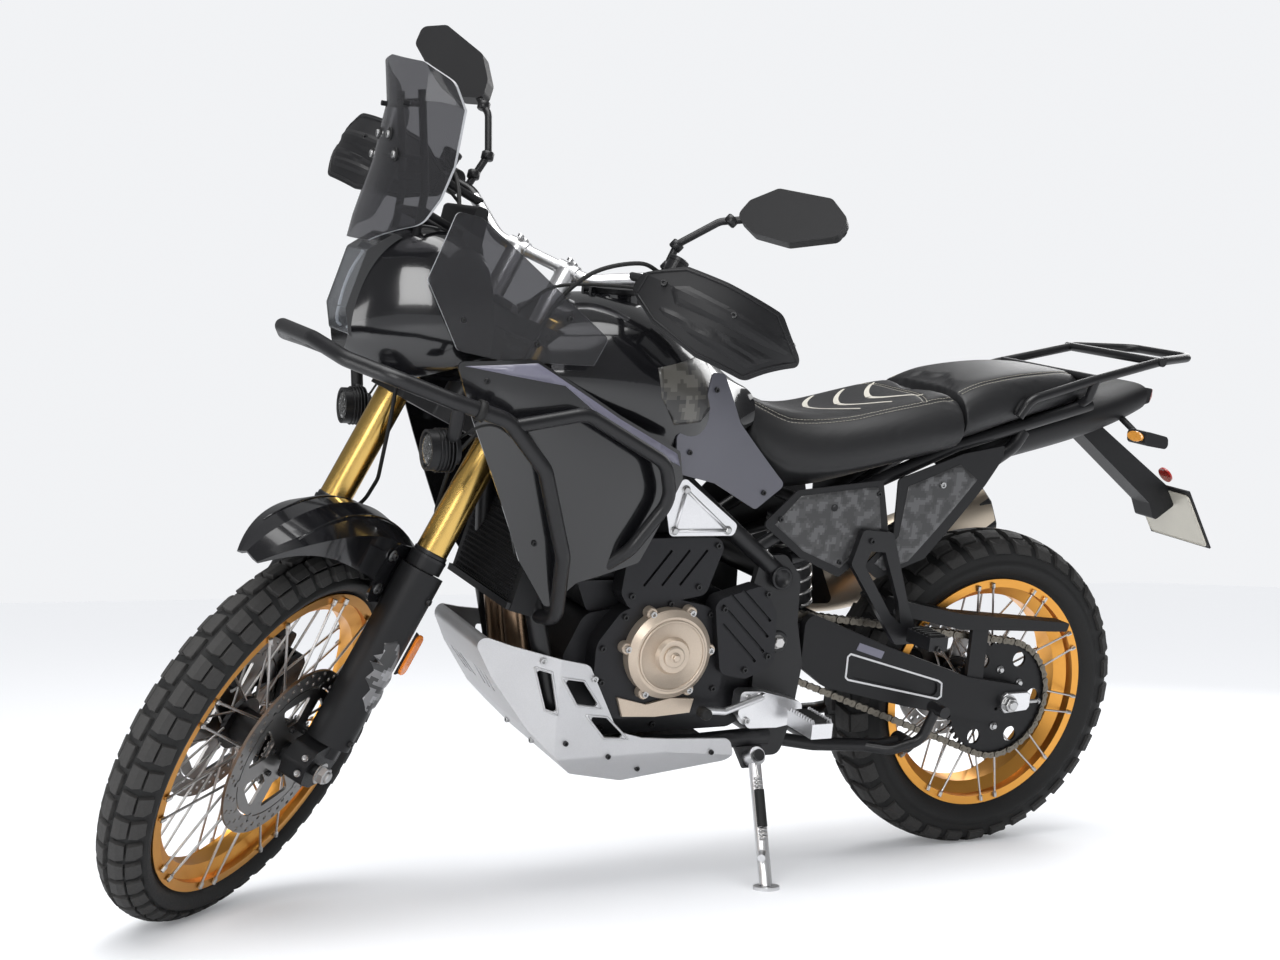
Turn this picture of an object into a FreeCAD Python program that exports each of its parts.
import FreeCAD, Part
import math
import os
import re
import Sketcher
from FreeCAD import Placement, Rotation, Vector

# An adventure motorcycle that leans on its side stand with the bars turned to the left stop.
# Chassis pieces are drawn upright: X forward, Y to the rider's left, Z up, origin on the ground under the rear axle.
# Steered pieces are drawn in the fork's own frame: Z up the steering axis, X forward, with the bars straight.

# Driving sizes, in millimetres and degrees
SIZES = {
    "layout": 1000,
    "wheelbase": 1530,
    "rake_angle": 26.5,
    "axle_ahead": 66,
    "steering_lock": 45,
    "lean_angle": 12.4,
    "seat_gap": 0.3,
    "moving_gap": 5,
    "overrun": 10,
    # wheels
    "front_tyre_radius": 348,
    "front_tyre_half": 45,
    "front_rim_radius": 280,
    "front_rim_half": 33,
    "rear_tyre_radius": 335,
    "rear_tyre_half": 74,
    "rear_rim_radius": 242,
    "rear_rim_half": 58,
    "outline_steps": 200,
    "flange_height": 13,
    "flange_wall": 4,
    "well_depth": 22,
    "rim_wall": 4,
    "spoke_radius": 2.2,
    "spoke_pairs": 10,
    "hub_radius": 30,
    "hub_flange_radius": 48,
    "hub_flange_wall": 8,
    "front_hub_half": 34,
    "rear_hub_half": 42,
    "axle_radius": 10,
    "disc_radius": 153,
    "disc_inner": 122,
    "disc_wall": 5,
    "disc_middle": 60,
    "disc_hole_radius": 4,
    "carrier_inner": 40,
    "rear_disc_radius": 132,
    "rear_disc_inner": 104,
    "rear_disc_middle": 74,
    "spoke_reach": 28,
    "sprocket_wall": 6,
    "sprocket_teeth": 48,
    "front_sprocket_teeth": 17,
    "chain_links": 118,
    "tooth_height": 3.2,
    "sprocket_windows": 6,
    "sprocket_window_radius": 16,
    "chain_pitch": 15.875,
    "chain_middle": 90,
    "chain_half": 8,
    "chain_height": 14,
    "plate_wall": 2.5,
    "roller_radius": 5,
    "swingarm_inside": 104,
    # fork and bars
    "leg_middle": 103,
    "leg_ahead": 28,
    "upper_tube_radius": 28,
    "upper_tube_foot": 396,
    "upper_tube_top": 842,
    "stanchion_radius": 22,
    "collar_radius": 32,
    "collar_height": 22,
    "lug_wall": 36,
    "stem_radius": 15,
    "head_tube_radius": 32,
    "head_tube_foot": 648,
    "head_tube_top": 786,
    "yoke_wall": 32,
    "yoke_reach": 156,
    "steered_outer": 142,
    "steered_first": 5,
    "steered_last": 162,
    "steered_inner": 72,
    "riser_reach": 84,
    "steered_foot": 372,
    "steered_top": 862,
    "nose_stay_wall": 24,
    "lower_yoke_foot": 612,
    "top_yoke_foot": 800,
    "riser_middle": 52,
    "riser_radius": 19,
    "bar_radius": 11,
    "bar_height": 946,
    "bar_behind": 22,
    "grip_radius": 17,
    "guard_wall": 4,
    "fork_guard_radius": 41,
    "fork_guard_foot": 44,
    "fork_guard_top": 372,
    "mudguard_wall": 4,
    "caliper_inner": 17,
    "caliper_outer": 32,
    "caliper_depth": 58,
    "caliper_slot": 16,
    "caliper_angle": 147,
    "mudguard_bracket_inside": 68,
    "mirror_depth": 34,
    "hose_radius": 3.5,
    # frame and engine
    "frame_tube_radius": 17,
    "brace_tube_radius": 12,
    "subframe_tube_radius": 13,
    "tube_bend": 60,
    "frame_plate_wall": 14,
    "frame_plate_inside": 112,
    "crash_bar_radius": 13,
    "rack_tube_radius": 9,
    "stand_pin_radius": 7,
    "pin_gap": 0.3,
    "engine_half": 108,
    "fin_step": 14,
    "fin_count": 5,
    "skid_half": 172,
    "swingarm_root_inside": 62,
    "shock_radius": 38,
    "cover_radius": 82,
    "cover_depth": 40,
    "panel_wall": 4,
    "header_radius": 20,
    "silencer_half_width": 48,
    "silencer_half_height": 72,
    "skid_wall": 5,
    "slot_height": 40,
    "slot_width": 9,
    "thread_radius": 4,
    "thread_depth": 15,
    "lamp_wall": 3,
    "lamp_half": 58,
    "projector_radius": 25,
    "rib_width": 5,
    "rib_depth": 6,
    "nose_wall": 5,
    "radiator_wall": 42,
    "radiator_half": 150,
    "fog_lamp_radius": 33,
    "fog_lamp_depth": 52,
    "peg_half_width": 22,
    # stands and lid
    "side_leg_radius": 12,
    "stand_foot_height": 61,
    "centre_leg_radius": 13,
    "centre_sleeve_radius": 14,
    "lid_radius": 44,
    "screen_wall": 4,
    "plate_half": 90,
    "plate_height": 150,
    "lid_wall": 9,
}

doc = FreeCAD.newDocument("Motorcycle")
sheet = doc.addObject("Spreadsheet::Sheet", "Sizes")
for row, (alias, value) in enumerate(SIZES.items(), start=1):
    sheet.set(f"A{row}", alias)
    sheet.set(f"B{row}", str(value))
    sheet.setAlias(f"B{row}", alias)
doc.recompute()


class NamedSizes:
    """Reads a named size from the sheet."""

    def __getattr__(self, alias):
        return float(getattr(sheet, alias))


size = NamedSizes()
X, Y, Z = Vector(1, 0, 0), Vector(0, 1, 0), Vector(0, 0, 1)
ORIGIN = Vector(0, 0, 0)


# Helpers: places, bound sizes and simple solids

def cells(text):
    """A formula in plain size names, written the way the sheet reads it."""
    return re.sub(r"[a-z][a-z_]*", lambda word: "Sizes." + word[0] if word[0] in SIZES else word[0], text)


def at(x, y, z):
    """A place given as shares of the layout length."""
    return Vector(x, y, z) * size.layout


def bound(kind, name, place=None, **formulas):
    item = doc.addObject(kind, name)
    for prop, text in formulas.items():
        item.setExpression(prop, cells(text))
    if place is not None:
        item.Placement = place
    return item


def feature(name, shape):
    item = doc.addObject("Part::Feature", name)
    item.Shape = shape
    return item


def toward(start, direction, spin=0):
    """A placement at start with its Z along direction."""
    return Placement(start, Rotation(Z, direction) * Rotation(Z, spin))


def rod(name, start, end, radius):
    rod_item = bound("Part::Cylinder", name, toward(start, end - start), Radius=radius)
    rod_item.Height = (end - start).Length
    return rod_item


def box(name, low, high):
    """A box between two corners."""
    span = high - low
    item = doc.addObject("Part::Box", name)
    item.Length, item.Width, item.Height = span.x, span.y, span.z
    item.Placement = Placement(low, Rotation())
    return item


def fuse(name, *items):
    if len(items) == 1:
        return items[0]
    result = doc.addObject("Part::MultiFuse", name)
    result.Shapes = list(items)
    return result


def gather(name, *items):
    result = doc.addObject("Part::Compound", name)
    result.Links = list(items)
    return result


def cut(name, base, *tools):
    result = doc.addObject("Part::Cut", name)
    result.Base = base
    result.Tool = fuse(name + "_tools", *tools)
    return result


def common(name, *items):
    result = doc.addObject("Part::MultiCommon", name)
    result.Shapes = list(items)
    return result


def mirrored(item):
    """The same piece on the other side of the bike."""
    result = doc.addObject("Part::Mirroring", item.Name + "_right")
    result.Source = item
    result.Base, result.Normal = ORIGIN, Y
    return result


def path(points, bend, closed=False):
    """Straight runs joined by tangent arcs of the bend's radius, or as large as the runs allow."""
    count = len(points)
    edges = []
    last = points[0]
    corners = range(count) if closed else range(1, count - 1)
    arcs = []
    for index in corners:
        before, corner, after = points[index - 1], points[index], points[(index + 1) % count]
        into, out = corner - before, after - corner
        half_turn = into.getAngle(out) / 2
        room = 0.48 * min(into.Length, out.Length)
        reach = min(bend * math.tan(half_turn), room)
        into.normalize()
        out.normalize()
        if half_turn < 0.01 or reach <= 0:
            continue
        start, end = corner - into * reach, corner + out * reach
        radius = reach / math.tan(half_turn)
        inward = (out - into).normalize()
        centre = corner + inward * (radius / math.cos(half_turn))
        middle = centre - inward * radius
        arcs.append((start, middle, end))
    if closed:
        last = arcs[-1][2]
    for start, middle, end in arcs:
        if (start - last).Length > 1e-6:
            edges.append(Part.LineSegment(last, start).toShape())
        edges.append(Part.Arc(start, middle, end).toShape())
        last = end
    if not closed:
        edges.append(Part.LineSegment(last, points[-1]).toShape())
    return Part.Wire(edges)


def tube(name, points, radius, bend=None):
    """A round tube along a path; its section's radius is bound to the sheet."""
    wire = path(points, size.tube_bend if bend is None else bend)
    spine = feature(name + "_path", wire)
    section = bound("Part::Circle", name + "_section", toward(points[0], points[1] - points[0]), Radius=radius)
    sweep = doc.addObject("Part::Sweep", name)
    sweep.Sections = [section]
    sweep.Spine = (spine, [f"Edge{number + 1}" for number in range(len(wire.Edges))])
    sweep.Solid = True
    sweep.Frenet = False
    return sweep


def prism(name, outline, direction, depth, corner=0.0):
    """A flat outline with rounded corners, extruded along direction; depth is a formula of named sizes."""
    wire = path(outline, corner, closed=True) if corner else Part.makePolygon(outline + outline[:1])
    base = feature(name + "_outline", Part.Face(wire))
    result = bound("Part::Extrusion", name, LengthFwd=depth)
    result.Base = base
    result.DirMode = "Custom"
    result.Dir = direction
    result.Solid = True
    return result


def side_prism(name, shares, inside, depth, corner=0.0):
    """An outline seen from the bike's left, given as (x, z) shares, extruded outwards from y = inside."""
    return prism(name, [Vector(a * size.layout, inside, b * size.layout) for a, b in shares], Y, depth, corner)


def front_prism(name, shares, back, depth, corner=0.0):
    """An outline seen from ahead, given as (y, z) shares, extruded forwards from x = back."""
    return prism(name, [Vector(back, a * size.layout, b * size.layout) for a, b in shares], X, depth, corner)


def ring_wire(points, smooth):
    if not smooth:
        return Part.makePolygon(points + points[:1])
    curve = Part.BSplineCurve()
    curve.interpolate(Points=points, PeriodicFlag=True)
    return Part.Wire([curve.toShape()])


def loft(name, rings, smooth=True, ruled=False):
    """A solid through closed cross-sections."""
    result = doc.addObject("Part::Loft", name)
    result.Sections = [feature(f"{name}_ring{number}", ring_wire(ring, smooth)) for number, ring in enumerate(rings)]
    result.Solid = True
    result.Ruled = ruled
    return result


def even_ring(x, halves):
    """A cross-section at x, symmetric about the middle, from its left half as (y, z) shares, bottom to top."""
    left = [at(x, a, b) for a, b in halves]
    right = [at(x, -a, b) for a, b in reversed(halves) if a > 0]
    return left + right


def sheet_loft(name, stations, wall):
    """A curved skin: each station is (x, [(y, z), ...]) in shares, and the wall lies inside it."""
    rings = []
    for x, profile in stations:
        outer = [at(x, a, b) for a, b in profile]
        inner = [point - Y * wall for point in reversed(outer)]
        edges = []
        for line in (outer, inner):
            curve = Part.BSplineCurve()
            curve.interpolate(line)
            edges.append(curve.toShape())
        bottom = Part.LineSegment(inner[-1], outer[0]).toShape()
        top = Part.LineSegment(outer[-1], inner[0]).toShape()
        rings.append(Part.Wire([edges[0], top, edges[1], bottom]))
    result = doc.addObject("Part::Loft", name)
    result.Sections = [feature(f"{name}_ring{number}", ring) for number, ring in enumerate(rings)]
    result.Solid = True
    return result


def panel(name, outline_shares, stations, wall, corner=0.0):
    """The part of a curved skin that lies inside an outline seen from the left."""
    skin = sheet_loft(name + "_skin", stations, wall)
    window = side_prism(name + "_window", outline_shares, 0, "layout", corner)
    return common(name, skin, window)


# Helpers: turned pieces, as bodies with a constrained sketch

def origin_plane(body, role):
    return next(item for item in body.Origin.OriginFeatures if item.Role == role)


def new_body(name):
    return doc.addObject("PartDesign::Body", name)


def new_sketch(body, name, role):
    sketch = body.newObject("Sketcher::SketchObject", name)
    sketch.AttachmentSupport = [(origin_plane(body, role), "")]
    sketch.MapMode = "FlatFace"
    return sketch


def pin_point(sketch, geometry, point, across, up):
    """Ties a sketch point to two formulas measured from the sketch's origin; a leading minus turns it round."""
    for kind, text in (("DistanceX", across), ("DistanceY", up)):
        if text == "0":
            axis = -2 if kind == "DistanceX" else -1
            sketch.addConstraint(Sketcher.Constraint("PointOnObject", geometry, point, axis))
            continue
        ends = (geometry, point, -1, 1) if text.startswith("-") else (-1, 1, geometry, point)
        number = sketch.addConstraint(Sketcher.Constraint(kind, *ends, 1.0))
        sketch.setExpression(f"Constraints[{number}]", cells(text.lstrip("-").strip()))


def sketch_outline(sketch, corners):
    """A closed outline whose corners are pairs of formulas."""
    count = len(corners)
    guess = [Vector(math.cos(2 * math.pi * k / count), math.sin(2 * math.pi * k / count), 0) for k in range(count)]
    for k in range(count):
        sketch.addGeometry(Part.LineSegment(guess[k], guess[(k + 1) % count]), False)
    for k in range(count):
        sketch.addConstraint(Sketcher.Constraint("Coincident", k, 2, (k + 1) % count, 1))
    for k, (across, up) in enumerate(corners):
        pin_point(sketch, k, 1, across, up)


def turned(name, corners):
    """A body turned about its own Y axis from an outline of (radius, y) formulas."""
    body = new_body(name)
    sketch = new_sketch(body, name + "_profile", "XY_Plane")
    sketch_outline(sketch, corners)
    turn = body.newObject("PartDesign::Revolution", name + "_turn")
    turn.Profile = sketch
    turn.ReferenceAxis = (sketch, ["V_Axis"])
    turn.Angle = 360
    sketch.Visibility = False
    return body


def both_sides(corners):
    """Completes an outline given for y > 0 with its mirror image, so that it closes."""
    def flip(text):
        return text[1:] if text.startswith("-") else ("0" if text == "0" else "-" + text)
    return corners + [(radius, flip(y)) for radius, y in reversed(corners)]


# Places that many pieces share

RAKE = math.radians(size.rake_angle)
FRONT_AXLE = Vector(size.wheelbase, 0, size.front_tyre_radius)
REAR_AXLE = Vector(0, 0, size.rear_tyre_radius)
FORK_BASE = FRONT_AXLE - Vector(math.cos(RAKE), 0, math.sin(RAKE)) * size.axle_ahead
STRAIGHT_FORK = Placement(FORK_BASE, Rotation(Y, -size.rake_angle))
STEERED_FORK = STRAIGHT_FORK * Placement(ORIGIN, Rotation(Z, size.steering_lock))
SWINGARM_PIVOT = at(0.558, 0, 0.484)
STAND_PIVOT = at(0.600, 0.150, 0.270)
STAND_FOOT_SPOT = at(0.618, 0.269, 0)
STAND_FOLDED = at(-0.256, 0.012, -0.040)
CENTRE_PIVOT = at(0.540, 0, 0.285)


def head(x, y, along):
    """A chassis place given in the fork's own straight frame."""
    return STRAIGHT_FORK.multVec(Vector(x, y, along))


# The nodes: name, body and the frame that each is drawn in

NODES = []
TYRE_OUTLINES = {}


def node(item, label, body):
    item.Label = label
    NODES.append((item, body))
    return item


# Wheels, drawn about their own axle along Y

def tyre(name, outer, half, rim_radius, rim_half, shoulder_shares):
    """A ring on the rim's bead seats: straight beads, round side walls and a crowned tread."""
    seat = rim_radius - size.flange_height
    bead = rim_half - size.flange_wall
    depth = outer - rim_radius
    side_share, drop_share, width_share = shoulder_shares
    bead_top = Vector(rim_radius + size.flange_wall, bead, 0)
    widest = Vector(rim_radius + side_share * depth, half, 0)
    shoulder = Vector(outer - drop_share * depth, width_share * half, 0)
    crown = Vector(outer, 0, 0)

    def over(point):
        return Vector(point.x, -point.y, 0)
    foot = Vector(seat, bead, 0)
    edges = [
        Part.LineSegment(over(foot), foot).toShape(),
        Part.LineSegment(foot, bead_top).toShape(),
        Part.Arc(bead_top, widest, shoulder).toShape(),
        Part.Arc(shoulder, crown, over(shoulder)).toShape(),
        Part.Arc(over(shoulder), over(widest), over(bead_top)).toShape(),
        Part.LineSegment(over(bead_top), over(foot)).toShape(),
    ]
    profile = feature(name + "_profile", Part.Face(Part.Wire(edges)))
    TYRE_OUTLINES[name] = [point for edge in edges for point in edge.discretize(int(size.outline_steps))]
    ring = doc.addObject("Part::Revolution", name)
    ring.Source = profile
    ring.Base, ring.Axis, ring.Angle = ORIGIN, Y, 360
    return ring


def rim(name, radius, half):
    """A channel with a well, two bead seats and upright flanges."""
    seat = f"{radius} - flange_height"
    well = f"{radius} - flange_height - well_depth"
    return turned(name, both_sides([
        (well, f"0.35 * {half}"),
        (seat, f"0.6 * {half}"),
        (seat, f"{half} - flange_wall"),
        (radius, f"{half} - flange_wall"),
        (radius, half),
        (f"{seat} - rim_wall", half),
        (f"{seat} - rim_wall", f"0.66 * {half}"),
        (f"{well} - rim_wall", f"0.4 * {half}"),
    ]))


def hub(name, half, spacer_half):
    """A turned hub with an axle bore, bearing ends and two spoke flanges."""
    return turned(name, both_sides([
        ("axle_radius + pin_gap", spacer_half),
        ("1.7 * axle_radius", spacer_half),
        ("1.7 * axle_radius", f"{half} + 2 * hub_flange_wall"),
        ("hub_radius", f"{half} + 2 * hub_flange_wall"),
        ("hub_radius", f"{half} + hub_flange_wall"),
        ("hub_flange_radius", f"{half} + hub_flange_wall"),
        ("hub_flange_radius", half),
        ("hub_radius", half),
    ]))


def round_about(radius, angle, y):
    """A place beside a wheel, at an angle about its axle."""
    return Vector(radius * math.cos(angle), y, radius * math.sin(angle))


def spokes(name, half, rim_radius, rim_half):
    """Crossed pairs on each side; they run from the hub's flange to the rim's outer edge."""
    pairs = int(size.spoke_pairs)
    step = 2 * math.pi / pairs
    reach = math.radians(size.spoke_reach)
    flange_middle = half + size.hub_flange_wall / 2
    start_radius = size.hub_flange_radius + 0.7 * size.spoke_radius
    end_radius = rim_radius - 2 * size.flange_wall
    end_y = rim_half + 1.3 * size.spoke_radius + size.seat_gap
    rods = []
    for side in (-1, 1):
        for k in range(pairs):
            for lean in (-1, 1):
                start_angle = k * step + lean * 0.1 * step + side * step / 4
                start_y = flange_middle + lean * 0.5 * size.hub_flange_wall
                start = round_about(start_radius, start_angle, side * start_y)
                end = round_about(end_radius, start_angle + lean * reach, side * end_y)
                rods.append(rod(f"{name}_{side + 1}_{k}_{lean + 1}", start, end, "spoke_radius"))
    return gather(name, *rods)


def drilled(name, ring, radii, count, middle):
    """Rows of cooling holes through a disc that lies about y = middle."""
    drills = []
    for k in range(count):
        for row, radius in enumerate(radii):
            angle = 2 * math.pi * (k + row / 3) / count
            low = round_about(radius, angle, middle - size.disc_wall)
            drills.append(rod(f"{name}_drill_{k}_{row}", low, low + Y * (2 * size.disc_wall), "disc_hole_radius"))
    return cut(name, ring, gather(name + "_drills", *drills))


def brake_disc(name, outer, inner, middle, seat_radius, arms, row_shares):
    """A drilled ring and the spider that carries it, joined by round bobbins."""
    low, high = f"{middle} - disc_wall / 2", f"{middle} + disc_wall / 2"
    band = turned(name + "_band", [(outer, low), (outer, high), (inner, high), (inner, low)])
    disc_inner, disc_outer, middle_y = getattr(size, inner), getattr(size, outer), getattr(size, middle)
    radii = [disc_inner + share * (disc_outer - disc_inner) for share in row_shares]
    holes = drilled(name + "_drilled", band, radii, 4 * arms, middle_y)
    spider_edge = f"{inner} - disc_wall / 2"
    spider = turned(name + "_spider", [(spider_edge, low), (spider_edge, high), (seat_radius, high),
                                       (seat_radius, low)])
    low_radius, high_radius = size.hub_flange_radius + size.overrun, disc_inner - 1.5 * size.overrun
    windows, bobbins = [], []
    for k in range(arms):
        angle, spread = 2 * math.pi * k / arms, 0.34 * 2 * math.pi / arms
        corners = [round_about(radius, angle + turn, middle_y - size.disc_wall)
                   for radius, turn in ((low_radius, -0.7 * spread), (low_radius, 0.7 * spread),
                                        (high_radius, spread), (high_radius, -spread))]
        windows.append(prism(f"{name}_window{k}", corners, Y, "2 * disc_wall", size.overrun / 2))
        start = round_about(disc_inner, angle + math.pi / arms, middle_y - 0.7 * size.disc_wall)
        bobbins.append(rod(f"{name}_bobbin{k}", start, start + Y * (1.4 * size.disc_wall), "1.6 * disc_hole_radius"))
    open_spider = cut(name + "_open_spider", spider, gather(name + "_windows", *windows))
    return fuse(name, holes, open_spider, *bobbins)


def sprocket(name, teeth, pitch, middle):
    """A toothed wheel: round seats for the rollers between pointed teeth, lightened by round windows."""
    pitch_radius = pitch * teeth / (2 * math.pi)
    seat_radius, tip_radius = pitch_radius - size.roller_radius - 2 * size.seat_gap, pitch_radius + size.tooth_height
    corners = []
    for k in range(teeth):
        for turn_share, radius in ((0.22, pitch_radius), (0.42, tip_radius), (0.58, tip_radius),
                                   (0.78, pitch_radius), (1, seat_radius)):
            angle = 2 * math.pi * (k + turn_share) / teeth
            corners.append(round_about(radius, angle, middle - size.sprocket_wall / 2))
    plate = prism(name + "_plate", corners, Y, "sprocket_wall")
    drills = []
    for k in range(int(size.sprocket_windows)):
        angle = 2 * math.pi * k / size.sprocket_windows
        low = round_about(0.76 * pitch_radius, angle, middle - size.sprocket_wall)
        drills.append(rod(f"{name}_window{k}", low, low + Y * (2 * size.sprocket_wall), "sprocket_window_radius"))
    seats = []
    for k in range(teeth):
        low = round_about(pitch_radius, 2 * math.pi * k / teeth, middle - size.sprocket_wall)
        seats.append(rod(f"{name}_seat{k}", low, low + Y * (2 * size.sprocket_wall), "roller_radius + 2 * seat_gap"))
    return cut(name, plate, gather(name + "_windows", *drills, *seats))


def ring_bore(name, radius, middle, wall):
    """A short round tool about the axle."""
    low = Vector(0, middle - wall, 0)
    return rod(name, low, low + Y * (2 * wall), radius)


front_tyre = node(tyre("front_tyre_ring", size.front_tyre_radius, size.front_tyre_half, size.front_rim_radius,
                       size.front_rim_half, (0.35, 0.30, 0.82)), "front_tyre", "front_wheel")
front_rim = node(rim("front_rim_body", "front_rim_radius", "front_rim_half"), "front_rim", "front_wheel")
front_barrel = hub("front_barrel", "front_hub_half", "leg_middle - upper_tube_radius - seat_gap")
front_spokes = spokes("front_spoke_set", size.front_hub_half, size.front_rim_radius, size.front_rim_half)
front_hub = node(gather("front_hub_whole", front_barrel, front_spokes), "front_hub", "front_wheel")
front_disc = brake_disc("front_disc", "disc_radius", "disc_inner", "disc_middle", "1.7 * axle_radius", 6,
                        (0.2, 0.5, 0.8))
front_discs = node(gather("front_disc_pair", front_disc, mirrored(front_disc)), "front_discs", "front_wheel")

rear_tyre = node(tyre("rear_tyre_ring", size.rear_tyre_radius, size.rear_tyre_half, size.rear_rim_radius,
                      size.rear_rim_half, (0.45, 0.16, 0.84)), "rear_tyre", "rear_wheel")
rear_rim = node(rim("rear_rim_body", "rear_rim_radius", "rear_rim_half"), "rear_rim", "rear_wheel")
rear_barrel = hub("rear_barrel", "rear_hub_half", "swingarm_inside - seat_gap")
rear_spokes = spokes("rear_spoke_set", size.rear_hub_half, size.rear_rim_radius, size.rear_rim_half)
rear_hub = node(gather("rear_hub_whole", rear_barrel, rear_spokes), "rear_hub", "rear_wheel")
rear_disc = node(mirrored(brake_disc("rear_disc_ring", "rear_disc_radius", "rear_disc_inner", "rear_disc_middle",
                                     "1.7 * axle_radius", 5, (0.3, 0.7))), "rear_disc", "rear_wheel")
chainwheel = sprocket("chainwheel", int(size.sprocket_teeth), size.chain_pitch, size.chain_middle)
rear_sprocket = node(cut("rear_sprocket_bored", chainwheel,
                         ring_bore("rear_sprocket_bore", "1.7 * axle_radius", size.chain_middle, size.chain_half)),
                     "rear_sprocket", "rear_wheel")


# Steering, drawn in the fork's straight frame: Z up the steering axis, X forward

def leg(along, x=None, y=None):
    """A place on the left fork leg's line."""
    return Vector(size.leg_ahead if x is None else x, size.leg_middle if y is None else y, along)


def grid(x, y, along):
    """A fork-frame place given as shares of the layout length."""
    return Vector(x, y, along) * size.layout


upper_tube = rod("upper_tube", leg(size.upper_tube_foot), leg(size.upper_tube_top), "upper_tube_radius")
fork_tubes = node(gather("upper_tubes", upper_tube, mirrored(upper_tube)), "fork_tubes", "steering")

stanchion = rod("stanchion", leg(size.fork_guard_foot), leg(size.upper_tube_foot), "stanchion_radius")
collar = rod("collar", leg(size.upper_tube_foot - size.collar_height), leg(size.upper_tube_foot), "collar_radius")
lug_shares = ((0.000, 0.075), (-0.004, 0.020), (0.012, -0.020), (0.050, -0.034), (0.085, -0.030), (0.098, 0.000),
              (0.086, 0.030), (0.058, 0.042), (0.056, 0.075))
lug = prism("axle_lug", [Vector(a * size.layout, size.leg_middle - size.upper_tube_radius, b * size.layout)
                         for a, b in lug_shares], Y, "2 * upper_tube_radius - 2 * flange_wall", size.overrun)
lug_clamp = rod("lug_clamp", leg(size.fork_guard_foot - size.collar_height), leg(size.fork_guard_foot + size.collar_height),
                "collar_radius - flange_wall")
left_leg = fuse("left_leg", stanchion, collar, lug, lug_clamp)
axle_end = size.leg_middle + size.collar_radius
front_axle = rod("front_axle", Vector(size.axle_ahead, -axle_end, 0), Vector(size.axle_ahead, axle_end, 0), "axle_radius")
fork_legs = node(fuse("fork_leg_pair", left_leg, mirrored(left_leg), front_axle), "fork_legs", "steering")


def leg_shell(name, low, high, outer, wall):
    """A guard round the front and outside of the left leg, open behind and beside the disc."""
    shell = cut(name + "_tube", rod(name + "_outer", leg(low), leg(high), outer),
                rod(name + "_inner", leg(low - size.overrun), leg(high + size.overrun), f"{outer} - {wall}"))
    reach = 2 * getattr(size, outer)
    behind = box(name + "_behind", leg(low - size.overrun) - Vector(reach, reach, 0),
                 leg(high + size.overrun) + Vector(-0.4 * size.upper_tube_radius, reach, 0))
    beside = box(name + "_beside", leg(low - size.overrun) - Vector(reach, reach, 0),
                 leg(high + size.overrun) + Vector(reach, -size.upper_tube_radius, 0))
    return cut(name, shell, behind, beside)


guard_shell = leg_shell("guard_shell", size.fork_guard_foot, size.fork_guard_top, "fork_guard_radius", "guard_wall")
guard_head = leg_shell("guard_head", size.fork_guard_top - size.overrun, size.fork_guard_top, "fork_guard_radius",
                       "fork_guard_radius + stanchion_radius")
fork_guard = fuse("fork_guard", guard_shell, guard_head)
fork_guards = node(gather("fork_guard_pair", fork_guard, mirrored(fork_guard)), "fork_guards", "steering")


def mudguard_ring(angle, radius, half, drop):
    """A cross-section of the mudguard on a ray from the axle: a crowned roof with two sides."""
    centre = Vector(size.axle_ahead, 0, 0)
    ray = Vector(math.cos(math.radians(angle)), 0, math.sin(math.radians(angle)))
    wall = size.mudguard_wall
    left = [(half, -drop), (0.96 * half, -0.2 * drop - wall / 2), (0.6 * half, 0), (0, 2 * wall)]
    inner = [(half - wall, -drop), (0.96 * half - wall, -0.2 * drop - wall), (0.6 * half - wall / 2, -wall), (0, wall)]
    outside = left + [(-y, out) for y, out in reversed(left[:-1])]
    inside = inner + [(-y, out) for y, out in reversed(inner[:-1])]
    return [centre + ray * (radius + out) + Y * y for y, out in outside + inside[::-1]]


mudguard_table_shares = ((40, 0.446, 0.020, 0.006), (46, 0.447, 0.040, 0.016), (56, 0.440, 0.060, 0.040),
                         (68, 0.432, 0.069, 0.075), (84, 0.420, 0.071, 0.095), (102, 0.412, 0.071, 0.085),
                         (116, 0.414, 0.064, 0.050), (126, 0.422, 0.050, 0.020))
mudguard = loft("mudguard_shell", [mudguard_ring(angle, radius * size.layout, half * size.layout, drop * size.layout)
                                   for angle, radius, half, drop in mudguard_table_shares], smooth=False)
bracket_shares = ((-0.070, 0.300), (0.100, 0.285), (0.112, 0.330), (0.090, 0.395), (-0.030, 0.400), (-0.078, 0.360))
bracket = prism("mudguard_bracket", [Vector(a * size.layout, size.mudguard_bracket_inside, b * size.layout)
                                     for a, b in bracket_shares], Y, "mudguard_wall", 2 * size.overrun)
bracket_pair = [bracket, mirrored(bracket)]
front_mudguard = node(fuse("mudguard_whole", mudguard, *bracket_pair), "front_mudguard", "steering")

caliper_shares = ((-0.029, -0.052), (0.018, -0.058), (0.029, -0.030), (0.029, 0.034), (0.014, 0.056), (-0.020, 0.056),
                  (-0.031, 0.030), (-0.024, 0.0), (-0.031, -0.028))
caliper_block = prism("caliper_block", [Vector(a * size.layout, -size.caliper_inner, b * size.layout)
                                        for a, b in caliper_shares], Y, "caliper_inner + caliper_outer", size.overrun)
slot_low = Vector(-0.2 * size.caliper_depth, -size.caliper_slot / 2, -size.caliper_depth)
slot_high = Vector(size.caliper_depth, size.caliper_slot / 2, size.caliper_depth)
caliper = cut("caliper", caliper_block, box("caliper_slot_tool", slot_low, slot_high))
caliper_angle = math.radians(size.caliper_angle)
caliper_spot = Vector(size.axle_ahead, size.disc_middle, 0) + round_about(
    size.disc_radius - 0.1 * size.caliper_depth, caliper_angle, 0)
caliper.Placement = Placement(caliper_spot, Rotation(Y, 180 - size.caliper_angle))
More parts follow.
